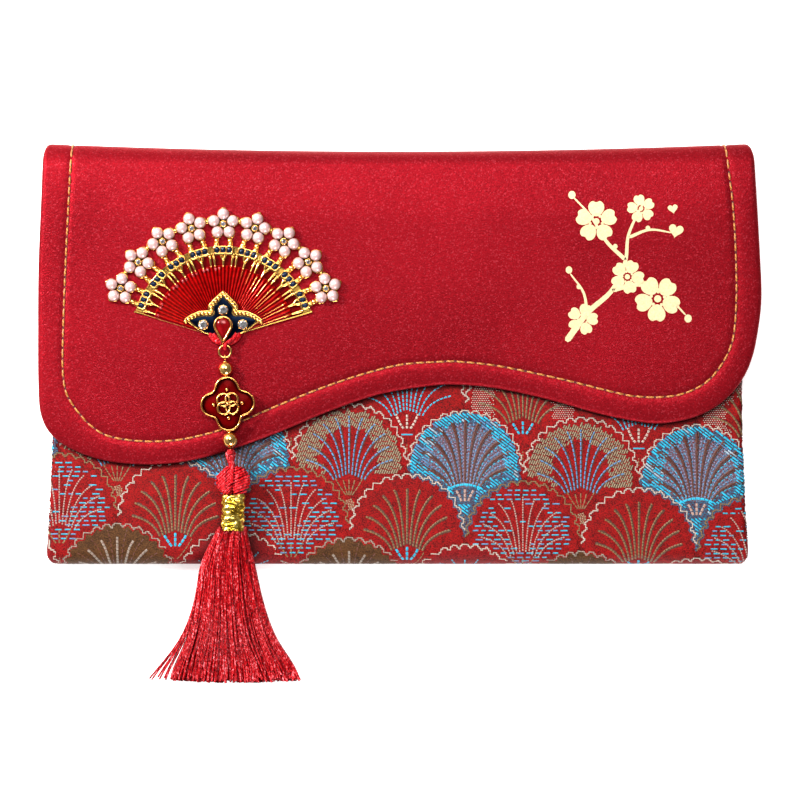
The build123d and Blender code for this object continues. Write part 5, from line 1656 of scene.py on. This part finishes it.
    # the floor beyond the lips, in the darker enamel that paints the shade there
    leaf = Acc()
    leaf.add(*leaf_grid(np.array([19.15, 20.5, 21.85])))
    leaf.obj("fan_leaf_floor", red_floor_shade, "flap", "red_enamel")
    # glossy beads of enamel at the pleats' ends on the other side
    leaf = Acc()
    for k in range(n_pl):
        fa = a0 + pitch * (k + 0.5)
        if fa > 92 and k % 3 != 1:
            q = polar(18.35 + rnd.uniform(-0.15, 0.15), fa)
            leaf.add(*ball((q[0], q[1], Z_LEAF + 0.28 * np.interp(fa, aa, deep)), rnd.uniform(0.40, 0.54), 14, 10))
    leaf.obj("fan_leaf_beads", red_tips, "flap", "red_enamel")
    # the gilt shows through along some ridges on one side
    g = Acc()
    for k in range(n_pl):
        fa = a0 + pitch * (k + 0.5)
        if fa > 74 or k % 5 in (1, 4):
            continue
        r0 = 9.5 + 6.0 * (fa - 17) / 59 + rnd.uniform(-1.4, 1.4)
        r1 = 18.5
        path = resample(np.stack([polar(r0, fa), polar(r1, fa)]), 9)
        top = np.interp(fa, aa, deep)
        zz = Z_LEAF - 0.04 + (0.16 + 0.46 * np.linspace(r0, r1, 9) / 19) * top - 0.02
        g.add(*tube(on_plane(path, zz), np.interp(np.linspace(0, 1, 9), [0, 0.5, 1], [0.02, 0.07, 0.12]), 6))
    g.obj("fan_leaf_lines", gold, "flap", "gold")

    # pearls
    p = Acc()
    for fa in FLOWER_ANGLES:
        c = polar(FLOWER_R, fa)
        for k in range(5):
            q = polar(PETAL_RING, fa + 72 * k, c)
            p.add(*ball((q[0], q[1], Z_LEAF + 0.75), PEARL_R * rnd.uniform(0.97, 1.0), 24, 16, (1, 1, rnd.uniform(0.95, 1.0))))
    p.obj("pearls", pearl, "flap", "pearl", replaces=["flower_pearls"])

    # stones
    s = Acc()
    for fa in FLOWER_ANGLES:
        c = polar(FLOWER_R, fa)
        s.add(*brilliant((c[0], c[1], Z_LEAF + 0.78), 0.74, 6, fa))
    s.obj("flower_stones", crystal, "flap", "crystal", smooth=False, replaces=["flower_crystals"])
    s = Acc()
    for fa in FLOWER_ANGLES:
        for k in (-1, 0, 1):
            s.add(*dome(oval_arc(fa + STONE_STEP * k, BAND_R, 0.84, 0.67), Z_LEAF + 0.3, 0.46, 0.5, 0.28))
    s.obj("band_gems", blue_stone, "flap", "blue_stone", replaces=["band_stones"])


def brilliant(centre, r, n=8, turn=0.0):
    """A cut stone seen from above: table, crown facets and girdle."""
    v, f = [], []
    for k in range(n):
        a = math.radians(turn) + TAU * k / n
        v.append((r * 0.55 * math.cos(a), r * 0.55 * math.sin(a), r * 0.46))
    for k in range(n):
        a = math.radians(turn) + TAU * (k + 0.5) / n
        v.append((r * 0.82 * math.cos(a), r * 0.82 * math.sin(a), r * 0.27))
    for k in range(n):
        a = math.radians(turn) + TAU * k / n
        v.append((r * math.cos(a), r * math.sin(a), 0.0))
    for k in range(n):
        a = math.radians(turn) + TAU * k / n
        v.append((r * math.cos(a), r * math.sin(a), -r * 0.35))
    f.append(tuple(range(n)))
    for k in range(n):
        k2 = (k + 1) % n
        f.append((k, n + k, k2))
        f.append((k, n + (k - 1) % n, 2 * n + k, n + k))
        f.append((n + k, 2 * n + k, 2 * n + k2))
        f.append((2 * n + k, 3 * n + k, 3 * n + k2, 2 * n + k2))
    return np.asarray(v) + np.asarray(centre), f


def tear_line(r, d, n=64):
    """Outline of a drop with its point down, about its round end's middle."""
    beta = math.asin(r / d)
    a = np.linspace(-beta, math.pi + beta, n - 20)
    rnd_end = np.stack([r * np.cos(a), r * np.sin(a)], 1)
    tip = np.array([0, -d])
    left = rnd_end[-1] + (tip - rnd_end[-1]) * np.linspace(0, 1, 12)[1:, None]
    right = tip + (rnd_end[0] - tip) * np.linspace(0, 1, 11)[1:-1, None]
    return np.concatenate([rnd_end, left, right])


def dome(outline, z0, height, shape=0.5, step=0.35):
    """A pillowed fill of an outline."""
    poly = np.asarray(outline, float)
    lo, hi = poly.min(0), poly.max(0)
    cloud = hex_points(lo[0], hi[0], lo[1], hi[1], step)
    cloud = cloud[inside(cloud, poly)]
    closed = np.concatenate([poly, poly[:1]])
    d, _, _ = line_distance(cloud, closed)
    cloud = cloud[d > step * 0.4]
    xy, tri = fill_region(poly, cloud)
    d, _, _ = line_distance(xy, closed)
    q = np.clip(d / d.max(), 0, 1)
    return on_plane(xy, z0 + height * (1 - (1 - q) ** 2) ** shape), tri


make_fan()


def make_crest():
    half = np.array([(0, 12.2), (1.0, 11.3), (2.4, 10.0), (3.7, 8.5), (3.75, 7.6), (3.35, 6.95), (4.6, 7.0), (6.4, 6.8), (8.3, 6.0), (10.2, 4.7)])
    low = np.array([(10.2, 4.7), (8.4, 3.6), (6.6, 2.2), (5.0, 1.3), (3.4, 0.9), (2.2, -0.2), (1.0, -1.2), (0, -1.6)])
    upper = np.concatenate([half[::-1] * (-1, 1), half[1:]])
    outline = np.concatenate([upper, low[1:], (low[1:-1] * (-1, 1))[::-1]]) + FAN
    inner_half = np.array([(0, 10.9), (1.4, 9.5), (2.5, 8.2), (2.55, 7.3), (2.3, 6.4), (3.0, 5.75), (4.8, 5.85), (6.8, 5.5), (9.0, 4.6), (8.0, 3.55), (6.35, 2.25), (4.9, 1.42), (3.3, 1.0), (2.1, -0.1), (1.0, -1.05), (0, -1.4)])
    field = np.concatenate([inner_half, (inner_half[1:-1] * (-1, 1))[::-1]])
    field = resample(np.concatenate([field, field[:1]]), 91)[:-1] + FAN
    g, e = Acc(), Acc()
    g.add(*slab(outline[::-1], Z_RIB, Z_RIB + 0.5, 0.15))
    line = resample(upper, step=0.35) + FAN
    g.add(*tube(on_plane(line, Z_RIB + 0.55), 0.26, 8))
    nrm = -normals2d(line)
    for q in resample(line + nrm * 0.52, step=0.98):
        g.add(*ball((q[0], q[1], Z_RIB + 0.62), 0.55, 12, 8, (1, 1, 0.85)))
    lower = resample(np.concatenate([low, (low[:-1] * (-1, 1))[::-1]]), step=0.35) + FAN
    g.add(*tube(on_plane(lower, Z_RIB + 0.40), 0.11, 7))
    e.add(*dome(field, Z_RIB + 0.45, 0.28, 0.5, 0.42))
    # bezels and stones
    s = Acc()
    for x, y in ((0, 7.3), (-5.2, 3.4), (5.2, 3.5)):
        c = FAN + (x, y)
        g.add(*lathe([(1.40, Z_RIB + 0.5), (1.34, Z_RIB + 1.02), (1.24, Z_RIB + 1.16), (1.12, Z_RIB + 1.10), (1.05, Z_RIB + 0.8)], 26, (c[0], c[1], 0)))
        for k in range(4):
            q = polar(1.26, 45 + 90 * k, c)
            g.add(*ball((q[0], q[1], Z_RIB + 1.30), 0.22, 8, 6))
        s.add(*brilliant((c[0], c[1], Z_RIB + 1.16), 1.28, 8, 12))
    g.obj("crest_casting", gold, "flap", "gold", replaces=["crest"])
    e.obj("crest_petals", blue_enamel, "flap", "blue_enamel", replaces=["crest_enamel"])
    s.obj("crest_stones", crystal, "flap", "crystal", smooth=False, replaces=["crest_crystals"])
    # teardrop
    c = FAN + (0, 3.3)
    zt = Z_RIB + 1.0
    g = Acc()
    line = tear_line(2.18, 4.5) + c
    g.add(*slab(tear_line(2.4, 4.85) + c, Z_RIB + 0.5, zt + 0.45, 0.15))
    g.add(*tube(on_plane(line, zt + 0.75), 0.36, 10, closed=True))
    g.obj("teardrop_setting", gold_rim, "flap", "gold", replaces=["teardrop_collar"])
    d = Acc()
    d.add(*dome(tear_line(1.95, 4.0) + c, zt + 0.5, 0.75, 0.5, 0.3))
    d.obj("teardrop_cabochon", red_stone, "flap", "red_stone", replaces=["teardrop_stone"])


def braid(path, radius, strands=3, pitch=2.2, sides=7, thick=0.62, n=None):
    """Strands laid round one another along a path."""
    path = np.asarray(path, float)
    path = resample(path, n or max(12, int(np.linalg.norm(np.diff(path, axis=0), axis=1).sum() / 0.16)))
    s = np.concatenate([[0], np.cumsum(np.linalg.norm(np.diff(path, axis=0), axis=1))])
    t = np.gradient(path, axis=0)
    t /= np.linalg.norm(t, axis=1)[:, None]
    up = np.array([0, 0, 1.0])
    n1 = np.cross(t, up)
    bad = np.linalg.norm(n1, axis=1) < 0.2
    n1[bad] = np.cross(t[bad], np.array([1.0, 0, 0]))
    n1 /= np.linalg.norm(n1, axis=1)[:, None]
    n2 = np.cross(n1, t)
    out = []
    for k in range(strands):
        a = TAU * (s / pitch + k / strands)
        q = path + radius * (1 - thick * 0.9) * (np.cos(a)[:, None] * n1 + np.sin(a)[:, None] * n2)
        out.append(tube(q, radius * thick, sides))
    return out


make_crest()


def make_hanger():
    acc = Acc()
    top = np.array([RING[0], RING[1] + 1.6])
    arc = np.linspace(math.pi / 2, 1.5 * math.pi, 12)
    bight = np.stack([np.full(12, top[0]), top[1] + 0.95 * np.cos(arc), Z_DROP + 0.95 * np.sin(arc)], 1)
    right = np.array([[top[0] + 2.9, top[1] + 3.2, Z_DROP - 0.7], [top[0] + 2.2, top[1] + 1.9, Z_DROP - 0.2], [top[0] + 0.7, top[1] + 0.8, Z_DROP + 0.55]])
    left = np.array([[top[0] - 0.7, top[1] + 0.7, Z_DROP - 0.9], [top[0] - 2.0, top[1] + 1.9, Z_DROP - 0.75], [top[0] - 2.9, top[1] + 3.2, Z_DROP - 0.7]])
    path = catmull(np.concatenate([right, bight[::2], left]), 8)
    for v, f in braid(path, 0.46, 3, 1.6):
        acc.add(v, f)
    # the cord's two ends, doubled, where they go behind the crest
    for sg in (-1, 1):
        for off in (0.0, 0.9):
            p = np.array([[top[0] + sg * (0.8 + off * 0.4), top[1] + 0.65, Z_DROP - 1.12], [top[0] + sg * (1.9 + off), top[1] + 1.55, Z_DROP - 1.05], [top[0] + sg * (3.0 + off), top[1] + 3.1, Z_DROP - 1.0]])
            for v, f in braid(catmull(p, 8), 0.74, 3, 2.2):
                acc.add(v, f)
    acc.obj("hanger_cord_braid", knot_silk, "flap", "red_silk", replaces=["hanger_cord"])


make_hanger()

# posts, washers, boards and closure stay as they are made, in their own finishes
for node, mat in (("brooch_posts", gold), ("post_washers", steel_mat), ("flap_board", board_mat), ("front_board", board_mat), ("back_board", board_mat),
                  ("flap_magnets", steel_mat), ("keeper_plates", steel_mat)):
    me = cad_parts[node].data
    me.materials.clear()
    me.materials.append(mat)

# ================================================================== drop
TILT = math.radians(3.5)
DOWN = np.array([math.sin(TILT), -math.cos(TILT)])
ACROSS = np.array([math.cos(TILT), math.sin(TILT)])
SWING = np.array([RING[0], RING[1] - 1.6])


def on_drop(x, d, z=0.0):
    """A point on the drop: x across it, d down from the ring's lowest point, z above its middle."""
    x, d, z = np.broadcast_arrays(np.asarray(x, float), np.asarray(d, float), np.asarray(z, float))
    return np.stack([SWING[0] + ACROSS[0] * x + DOWN[0] * d, SWING[1] + ACROSS[1] * x + DOWN[1] * d, Z_DROP + z], -1)


def turn_to_drop(v, d):
    """Local points (x across, y up the drop, z) moved onto the drop at distance d."""
    return on_drop(v[:, 0], d - v[:, 1], v[:, 2])


def make_drop():
    g = Acc()
    a0 = math.radians(100)
    g.add(*torus((RING[0], RING[1], Z_DROP), 1.6, 0.3, 48, 12, "xy", (a0, a0 + TAU - 0.06)))
    g.obj("jump_ring_wire", gold_bead, "ring", "gold", replaces=["jump_ring"])

    g = Acc()
    for d, r in ((3.0, 1.98), (21.7, 2.06)):
        t = np.linspace(0.30, math.pi - 0.30, 26)
        prof = [(0.42, -r * math.cos(0.30) + 0.25), (0.50, -r * math.cos(0.3))] + [(r * math.sin(q), -r * math.cos(q)) for q in t] + [(0.50, r * math.cos(0.3)), (0.42, r * math.cos(0.3) - 0.25)]
        v, f = lathe(prof, 36, (0, 0, 0), "y")
        g.add(turn_to_drop(v, d), f)
        for e in (-1, 1):
            v, f = torus((0, e * r * 0.955, 0), 0.52, 0.13, 20, 8, "xz")
            g.add(turn_to_drop(v, d), f)
    g.obj("drop_beads", gold_bead, "charm", "gold", replaces=["upper_bead", "lower_bead"])

    g = Acc()
    for d_eye, d0, d1 in ((0.0, 0.7, 5.1), (24.6, 19.3, 23.9)):
        v, f = torus((0, 0, 0), 0.7, 0.2, 26, 8, "yz")
        g.add(turn_to_drop(v, d_eye), f)
        g.add(*tube(on_drop(0, np.linspace(d0, d1, 5)), 0.3, 10))
    g.obj("eye_pins", gold_bead, "charm", "gold", replaces=["upper_eye_pin", "lower_eye_pin"])

    # four-lobed charm
    t = np.linspace(0, TAU, 240, endpoint=False)
    rad = np.full(len(t), 4.4)
    for k in range(4):
        q = t - k * math.pi / 2
        w = 3.28**2 - (3.97 * np.sin(q)) ** 2
        rad = np.maximum(rad, np.where((w > 0) & (np.cos(q) > 0), 3.97 * np.cos(q) + np.sqrt(np.clip(w, 0, None)), 0))
    j = np.arange(-18, 19)
    kern = np.exp(-((j / 7.0) ** 2))
    rad = np.convolve(np.concatenate([rad[-18:], rad, rad[:18]]), kern / kern.sum(), "valid")
    rad *= 7.25 / rad.max()
    out = np.stack([rad * np.cos(t), rad * np.sin(t)], 1)
    nrm = -normals2d(out, True)
    section = [(-0.30, -1.0), (-0.05, -0.92), (0.0, -0.6), (0.0, 0.55), (-0.05, 0.82), (-0.16, 0.97), (-0.33, 1.0), (-0.47, 0.95), (-0.56, 0.72), (-0.60, 0.30), (-0.60, -0.30)]
    rings = [np.column_stack([out + nrm * o, np.full(len(out), z)]) for o, z in section]
    g = Acc()
    g.add(turn_to_drop(np.concatenate(rings), 12.2), grid_faces(len(section), len(out), wrap_v=True, flip=True))
    xy, tri = fill_region(rings[0])
    g.add(turn_to_drop(on_plane(xy, -1.0), 12.2), tri[:, ::-1])
    for e in (-1, 1):
        v, f = lathe([(0.7, 0), (0.62, 0.3), (0.4, 0.45), (0.32, 0.45)], 16, (0, 0, 0), "y")
        v = v * (1, e, 1) + (0, e * 7.15, 0)
        g.add(turn_to_drop(v, 12.2), f)
    g.obj("charm_rim", gold_rim, "charm", "gold", replaces=["charm_frame"])
    e = Acc()
    v, f = dome((out + nrm * -0.52)[::2], -0.12, 0.62, 0.8, 0.5)
    e.add(turn_to_drop(v, 12.2), f)
    e.obj("charm_face", charm_red, "charm", "red_enamel", replaces=["charm_enamel"])
    # rosette: four linked rings, a middle boss and four small ones
    g = Acc()
    for k in range(4):
        c = np.array([1.55 * math.cos(k * math.pi / 2 + math.pi / 4), 1.55 * math.sin(k * math.pi / 2 + math.pi / 4)])
        q = np.linspace(0, TAU, 40, endpoint=False)
        lift = 0.64 + 0.08 * np.sin(q * 2 + k * math.pi / 2)
        path = np.column_stack([c[0] + 1.62 * np.cos(q), c[1] + 1.62 * np.sin(q), lift])
        v, f = tube(path, 0.32, 8, closed=True)
        g.add(turn_to_drop(v, 12.2), f)
        v, f = ball((3.75 * math.cos(k * math.pi / 2), 3.75 * math.sin(k * math.pi / 2), 0.56), 0.50, 12, 8, (1, 1, 0.8))
        g.add(turn_to_drop(v, 12.2), f)
    v, f = ball((0, 0, 0.66), 0.5, 12, 8)
    g.add(turn_to_drop(v, 12.2), f)
    g.obj("charm_rosette_wire", gold_rim, "charm", "gold", replaces=["charm_rosette"])


make_drop()

# ================================================================== tassel
SKIRT = np.array([
    (20.6, 0.45, 12.3, 3.3, 2.3), (23.6, -0.2, 11.6, 4.7, 2.6), (30.1, -0.9, 10.9, 7.1, 2.4), (38.6, -0.6, 10.4, 8.6, 2.0),
    (44.7, -0.4, 8.6, 10.1, 1.8), (50.5, -0.25, 5.6, 12.2, 1.8), (55.2, 0.2, 3.4, 15.0, 1.8), (61.8, 0.55, 1.9, 18.4, 1.5),
])
Z_KNOT = Z_FLAP + 0.35 + 2.3


def make_tassel():
    # loop and short cord
    acc = Acc()
    loop = np.array([(0.0, -5.0, 0.0), (-0.35, -3.2, 0), (-0.75, -2.0, 0), (-0.98, -1.0, 0), (-0.7, -0.2, 0), (0, 0.02, 0), (0.7, -0.2, 0), (0.98, -1.0, 0), (0.75, -2.0, 0), (0.35, -3.2, 0.0), (0.0, -5.0, 0.0)])
    path = catmull(loop, 8) + (PIVOT[0], PIVOT[1], Z_DROP)
    for v, f in braid(path, 0.44, 2, 1.3):
        acc.add(v, f)
    path = np.array([(0, -1.9, 0), (0.15, -3.0, 0.1), (0.4, -4.0, 0.2), (0.55, -4.9, 0.3)]) + (PIVOT[0], PIVOT[1], Z_DROP)
    for v, f in braid(catmull(path, 8), 0.95, 3, 2.6):
        acc.add(v, f)
    for k in range(4):
        v, f = torus((0, 0, 0), 0.85, 0.26, 22, 7, "xz")
        acc.add(v + (PIVOT[0] + 0.02 * k, PIVOT[1] - 1.15 - 0.40 * k, Z_DROP), f)
    # the loop is whipped with thread round the eye
    q = np.linspace(0, TAU, 26, endpoint=False)
    for k in range(3):
        path = np.column_stack([0.76 * np.cos(q), -0.74 + 0.40 * k + 0.07 * np.sin(q), 1.24 * np.sin(q)])
        acc.add(*tube(path + (PIVOT[0], PIVOT[1], Z_DROP), 0.24, 7, closed=True))
    acc.obj("tassel_cord_braid", silk, "tassel", "red_silk", replaces=["tassel_cord"])

    # knot: the tassel's threads folded over the cord
    acc = Acc()
    c = np.array([PIVOT[0] + 0.65, PIVOT[1] - 7.9, Z_KNOT])
    v, f = ball(c, 1.0, 28, 18, (3.8, 3.6, 1.7))
    acc.add(v, f)
    # two lobes of wound thread with a slit between them
    size = np.array([4.35, 3.95, 2.25])
    for sg, lean, n in ((1, 24, 12), (-1, 47, 13)):
        a = math.radians(lean)
        along, over = np.array([math.cos(a), math.sin(a), 0]), np.array([-math.sin(a), math.cos(a), 0])
        for k in range(n):
            off = -0.97 + 1.94 * (k + 0.5 + rnd.uniform(-0.12, 0.12)) / n
            q = np.linspace(-0.25, math.pi + 0.25, 44)
            w = math.sqrt(1 - off * off)
            path = off * over + w * (np.cos(q)[:, None] * along + np.sin(q)[:, None] * np.array([0, 0, 1]))
            path = path[(path[:, 0] * sg > 0.045) & (np.abs(path[:, 1]) < 0.93)]
            if len(path) < 5:
                continue
            slit = np.exp(-((path[:, 0] / 0.14) ** 2)) * smooth01((0.35 - path[:, 1]) / 0.5)
            path = path * size * (1 + rnd.uniform(-0.02, 0.03))
            path[:, 2] -= 0.75 * slit
            acc.add(*tube(resample(path, 20) + c, 0.36, 8))
    # the cord runs down between the lobes
    y = np.linspace(1.02, -0.12, 12)
    path = np.column_stack([-0.25 - 0.12 * (1 - y), y * 3.95, 2.25 * np.sqrt(np.clip(1 - np.clip(y, -1, 0.98) ** 2, 0.03, 1)) + 0.16]) + c
    for v, f in braid(path, 0.62, 3, 2.2):
        acc.add(v, f)
    acc.obj("tassel_knot_threads", knot_silk, "tassel", "red_silk", replaces=["tassel_knot"])

    # binding: crumpled metallic ribbon wound round the neck
    acc = Acc()
    zb = Z_FLAP + 0.35 + 2.2
    nd, na = 56, 84
    rough_gen = np.random.default_rng(5)
    crumple = rough_gen.normal(0, 1, (nd, na))
    for _ in range(7):
        crumple = (crumple + np.roll(crumple, 1, 1) + np.roll(crumple, -1, 1)) / 3
        crumple[1:-1] = (crumple[1:-1] * 2 + crumple[:-2] + crumple[2:]) / 4
    crumple *= 0.13 / crumple.std()
    dd, an = np.meshgrid(np.linspace(11.5, 21.0, nd), np.linspace(0, TAU, na, endpoint=False), indexing="ij")
    turn = (dd - 11.5) / (21.0 - 11.5) * 6.5 + 0.12 * np.sin(an)
    bulge = 0.16 * np.abs(np.sin(turn * math.pi)) + crumple
    w, h = 2.95 + bulge, 2.0 + bulge
    lean = 0.4 * (dd - 16.7) / 9.0
    v = np.stack([PIVOT[0] + 0.62 - lean * 0.9 + w * np.cos(an), PIVOT[1] - dd + 0.12 * np.sin(an * 3 + dd), zb - 0.04 * (dd - 11.5) + h * np.sin(an)], 2)
    acc.add(v.reshape(-1, 3), grid_faces(nd, na, wrap_v=True))
    for row, fl in ((0, True), (nd - 1, False)):
        ring = v[row]
        acc.add(np.concatenate([ring, [ring.mean(0)]]), [((k + 1) % na, k, na) if fl else (k, (k + 1) % na, na) for k in range(na)])
    acc.obj("tassel_binding_thread", metallic_thread, "tassel", "gold_thread", replaces=["tassel_binding"])

    # skirt: loose threads that fall over the bottom edge
    def skirt_path(u, w, length, wander, bend=2):
        d = SKIRT[:, 0]
        q = np.linspace(d[0] - 0.6, length, 17)
        cols = [np.interp(q, d, SKIRT[:, i]) for i in range(1, 5)]
        # round the corners of the table of sections
        for i in range(4):
            cols[i] = np.convolve(np.pad(cols[i], 1, mode="edge"), [0.25, 0.5, 0.25], "valid")
        t = (q - q[0]) / (d[-1] - q[0])
        side = wander[0] * np.sin(t * 5 + wander[1]) * t + wander[2] * t**bend
        rise = wander[3] * np.sin(t * 6 + wander[4]) * t
        x = PIVOT[0] + cols[0] + u * cols[2] + side
        z = cols[1] + w * cols[3] + rise
        z = np.maximum(z, 0.24)
        return np.column_stack([x, PIVOT[1] - q, z])

    acc = Acc()
    clumps = []
    for k in range(64):
        r, a = math.sqrt(rnd.random()) * 0.97, rnd.uniform(0, TAU)
        clumps.append((r * math.cos(a), r * math.sin(a), rnd.gauss(0, 0.45), rnd.uniform(0, TAU), rnd.gauss(0, 0.4), rnd.gauss(0, 0.10), rnd.uniform(0, TAU)))
    for k in range(660):
        cu, cw, w0, w1, w2, w3, w4 = clumps[k % len(clumps)]
        u, w = cu + rnd.gauss(0, 0.10), cw + rnd.gauss(0, 0.14)
        if k % 7 == 0:
            u, w, w0, w2 = (1 if k % 2 else -1) * rnd.uniform(0.86, 1.0), rnd.uniform(-0.5, 0.5), 0.1, 0.0
        r = math.hypot(u, w)
        if r > 1:
            u, w = u / r, w / r
        length = 61.0 - 1.0 * rnd.random() + 0.8 * math.cos(u * 1.4) - (rnd.random() ** 7) * 4
        wander = (w0 + rnd.gauss(0, 0.14), w1, w2 + rnd.gauss(0, 0.25), w3, w4)
        acc.add(*tube(skirt_path(u, w, length, wander), rnd.uniform(0.25, 0.34), 6))
    o = acc.obj("tassel_skirt_threads", silk, "tassel", "red_silk", replaces=["tassel_skirt"])
    acc = Acc()
    for k, away in enumerate((5.6, 4.7, 3.4, 2.4, 1.4, 0.6)):
        wander = (rnd.gauss(0, 0.06), rnd.uniform(0, TAU), -away, 0.03, 0.0)
        acc.add(*tube(skirt_path(-1.0, rnd.uniform(-0.2, 0.2), (60.6, 60.9, 60.2, 60.8, 60.4, 60.9)[k], wander, 4.2), 0.25, 6))
    acc.obj("tassel_stray_threads", silk, "tassel", "red_silk")


make_tassel()
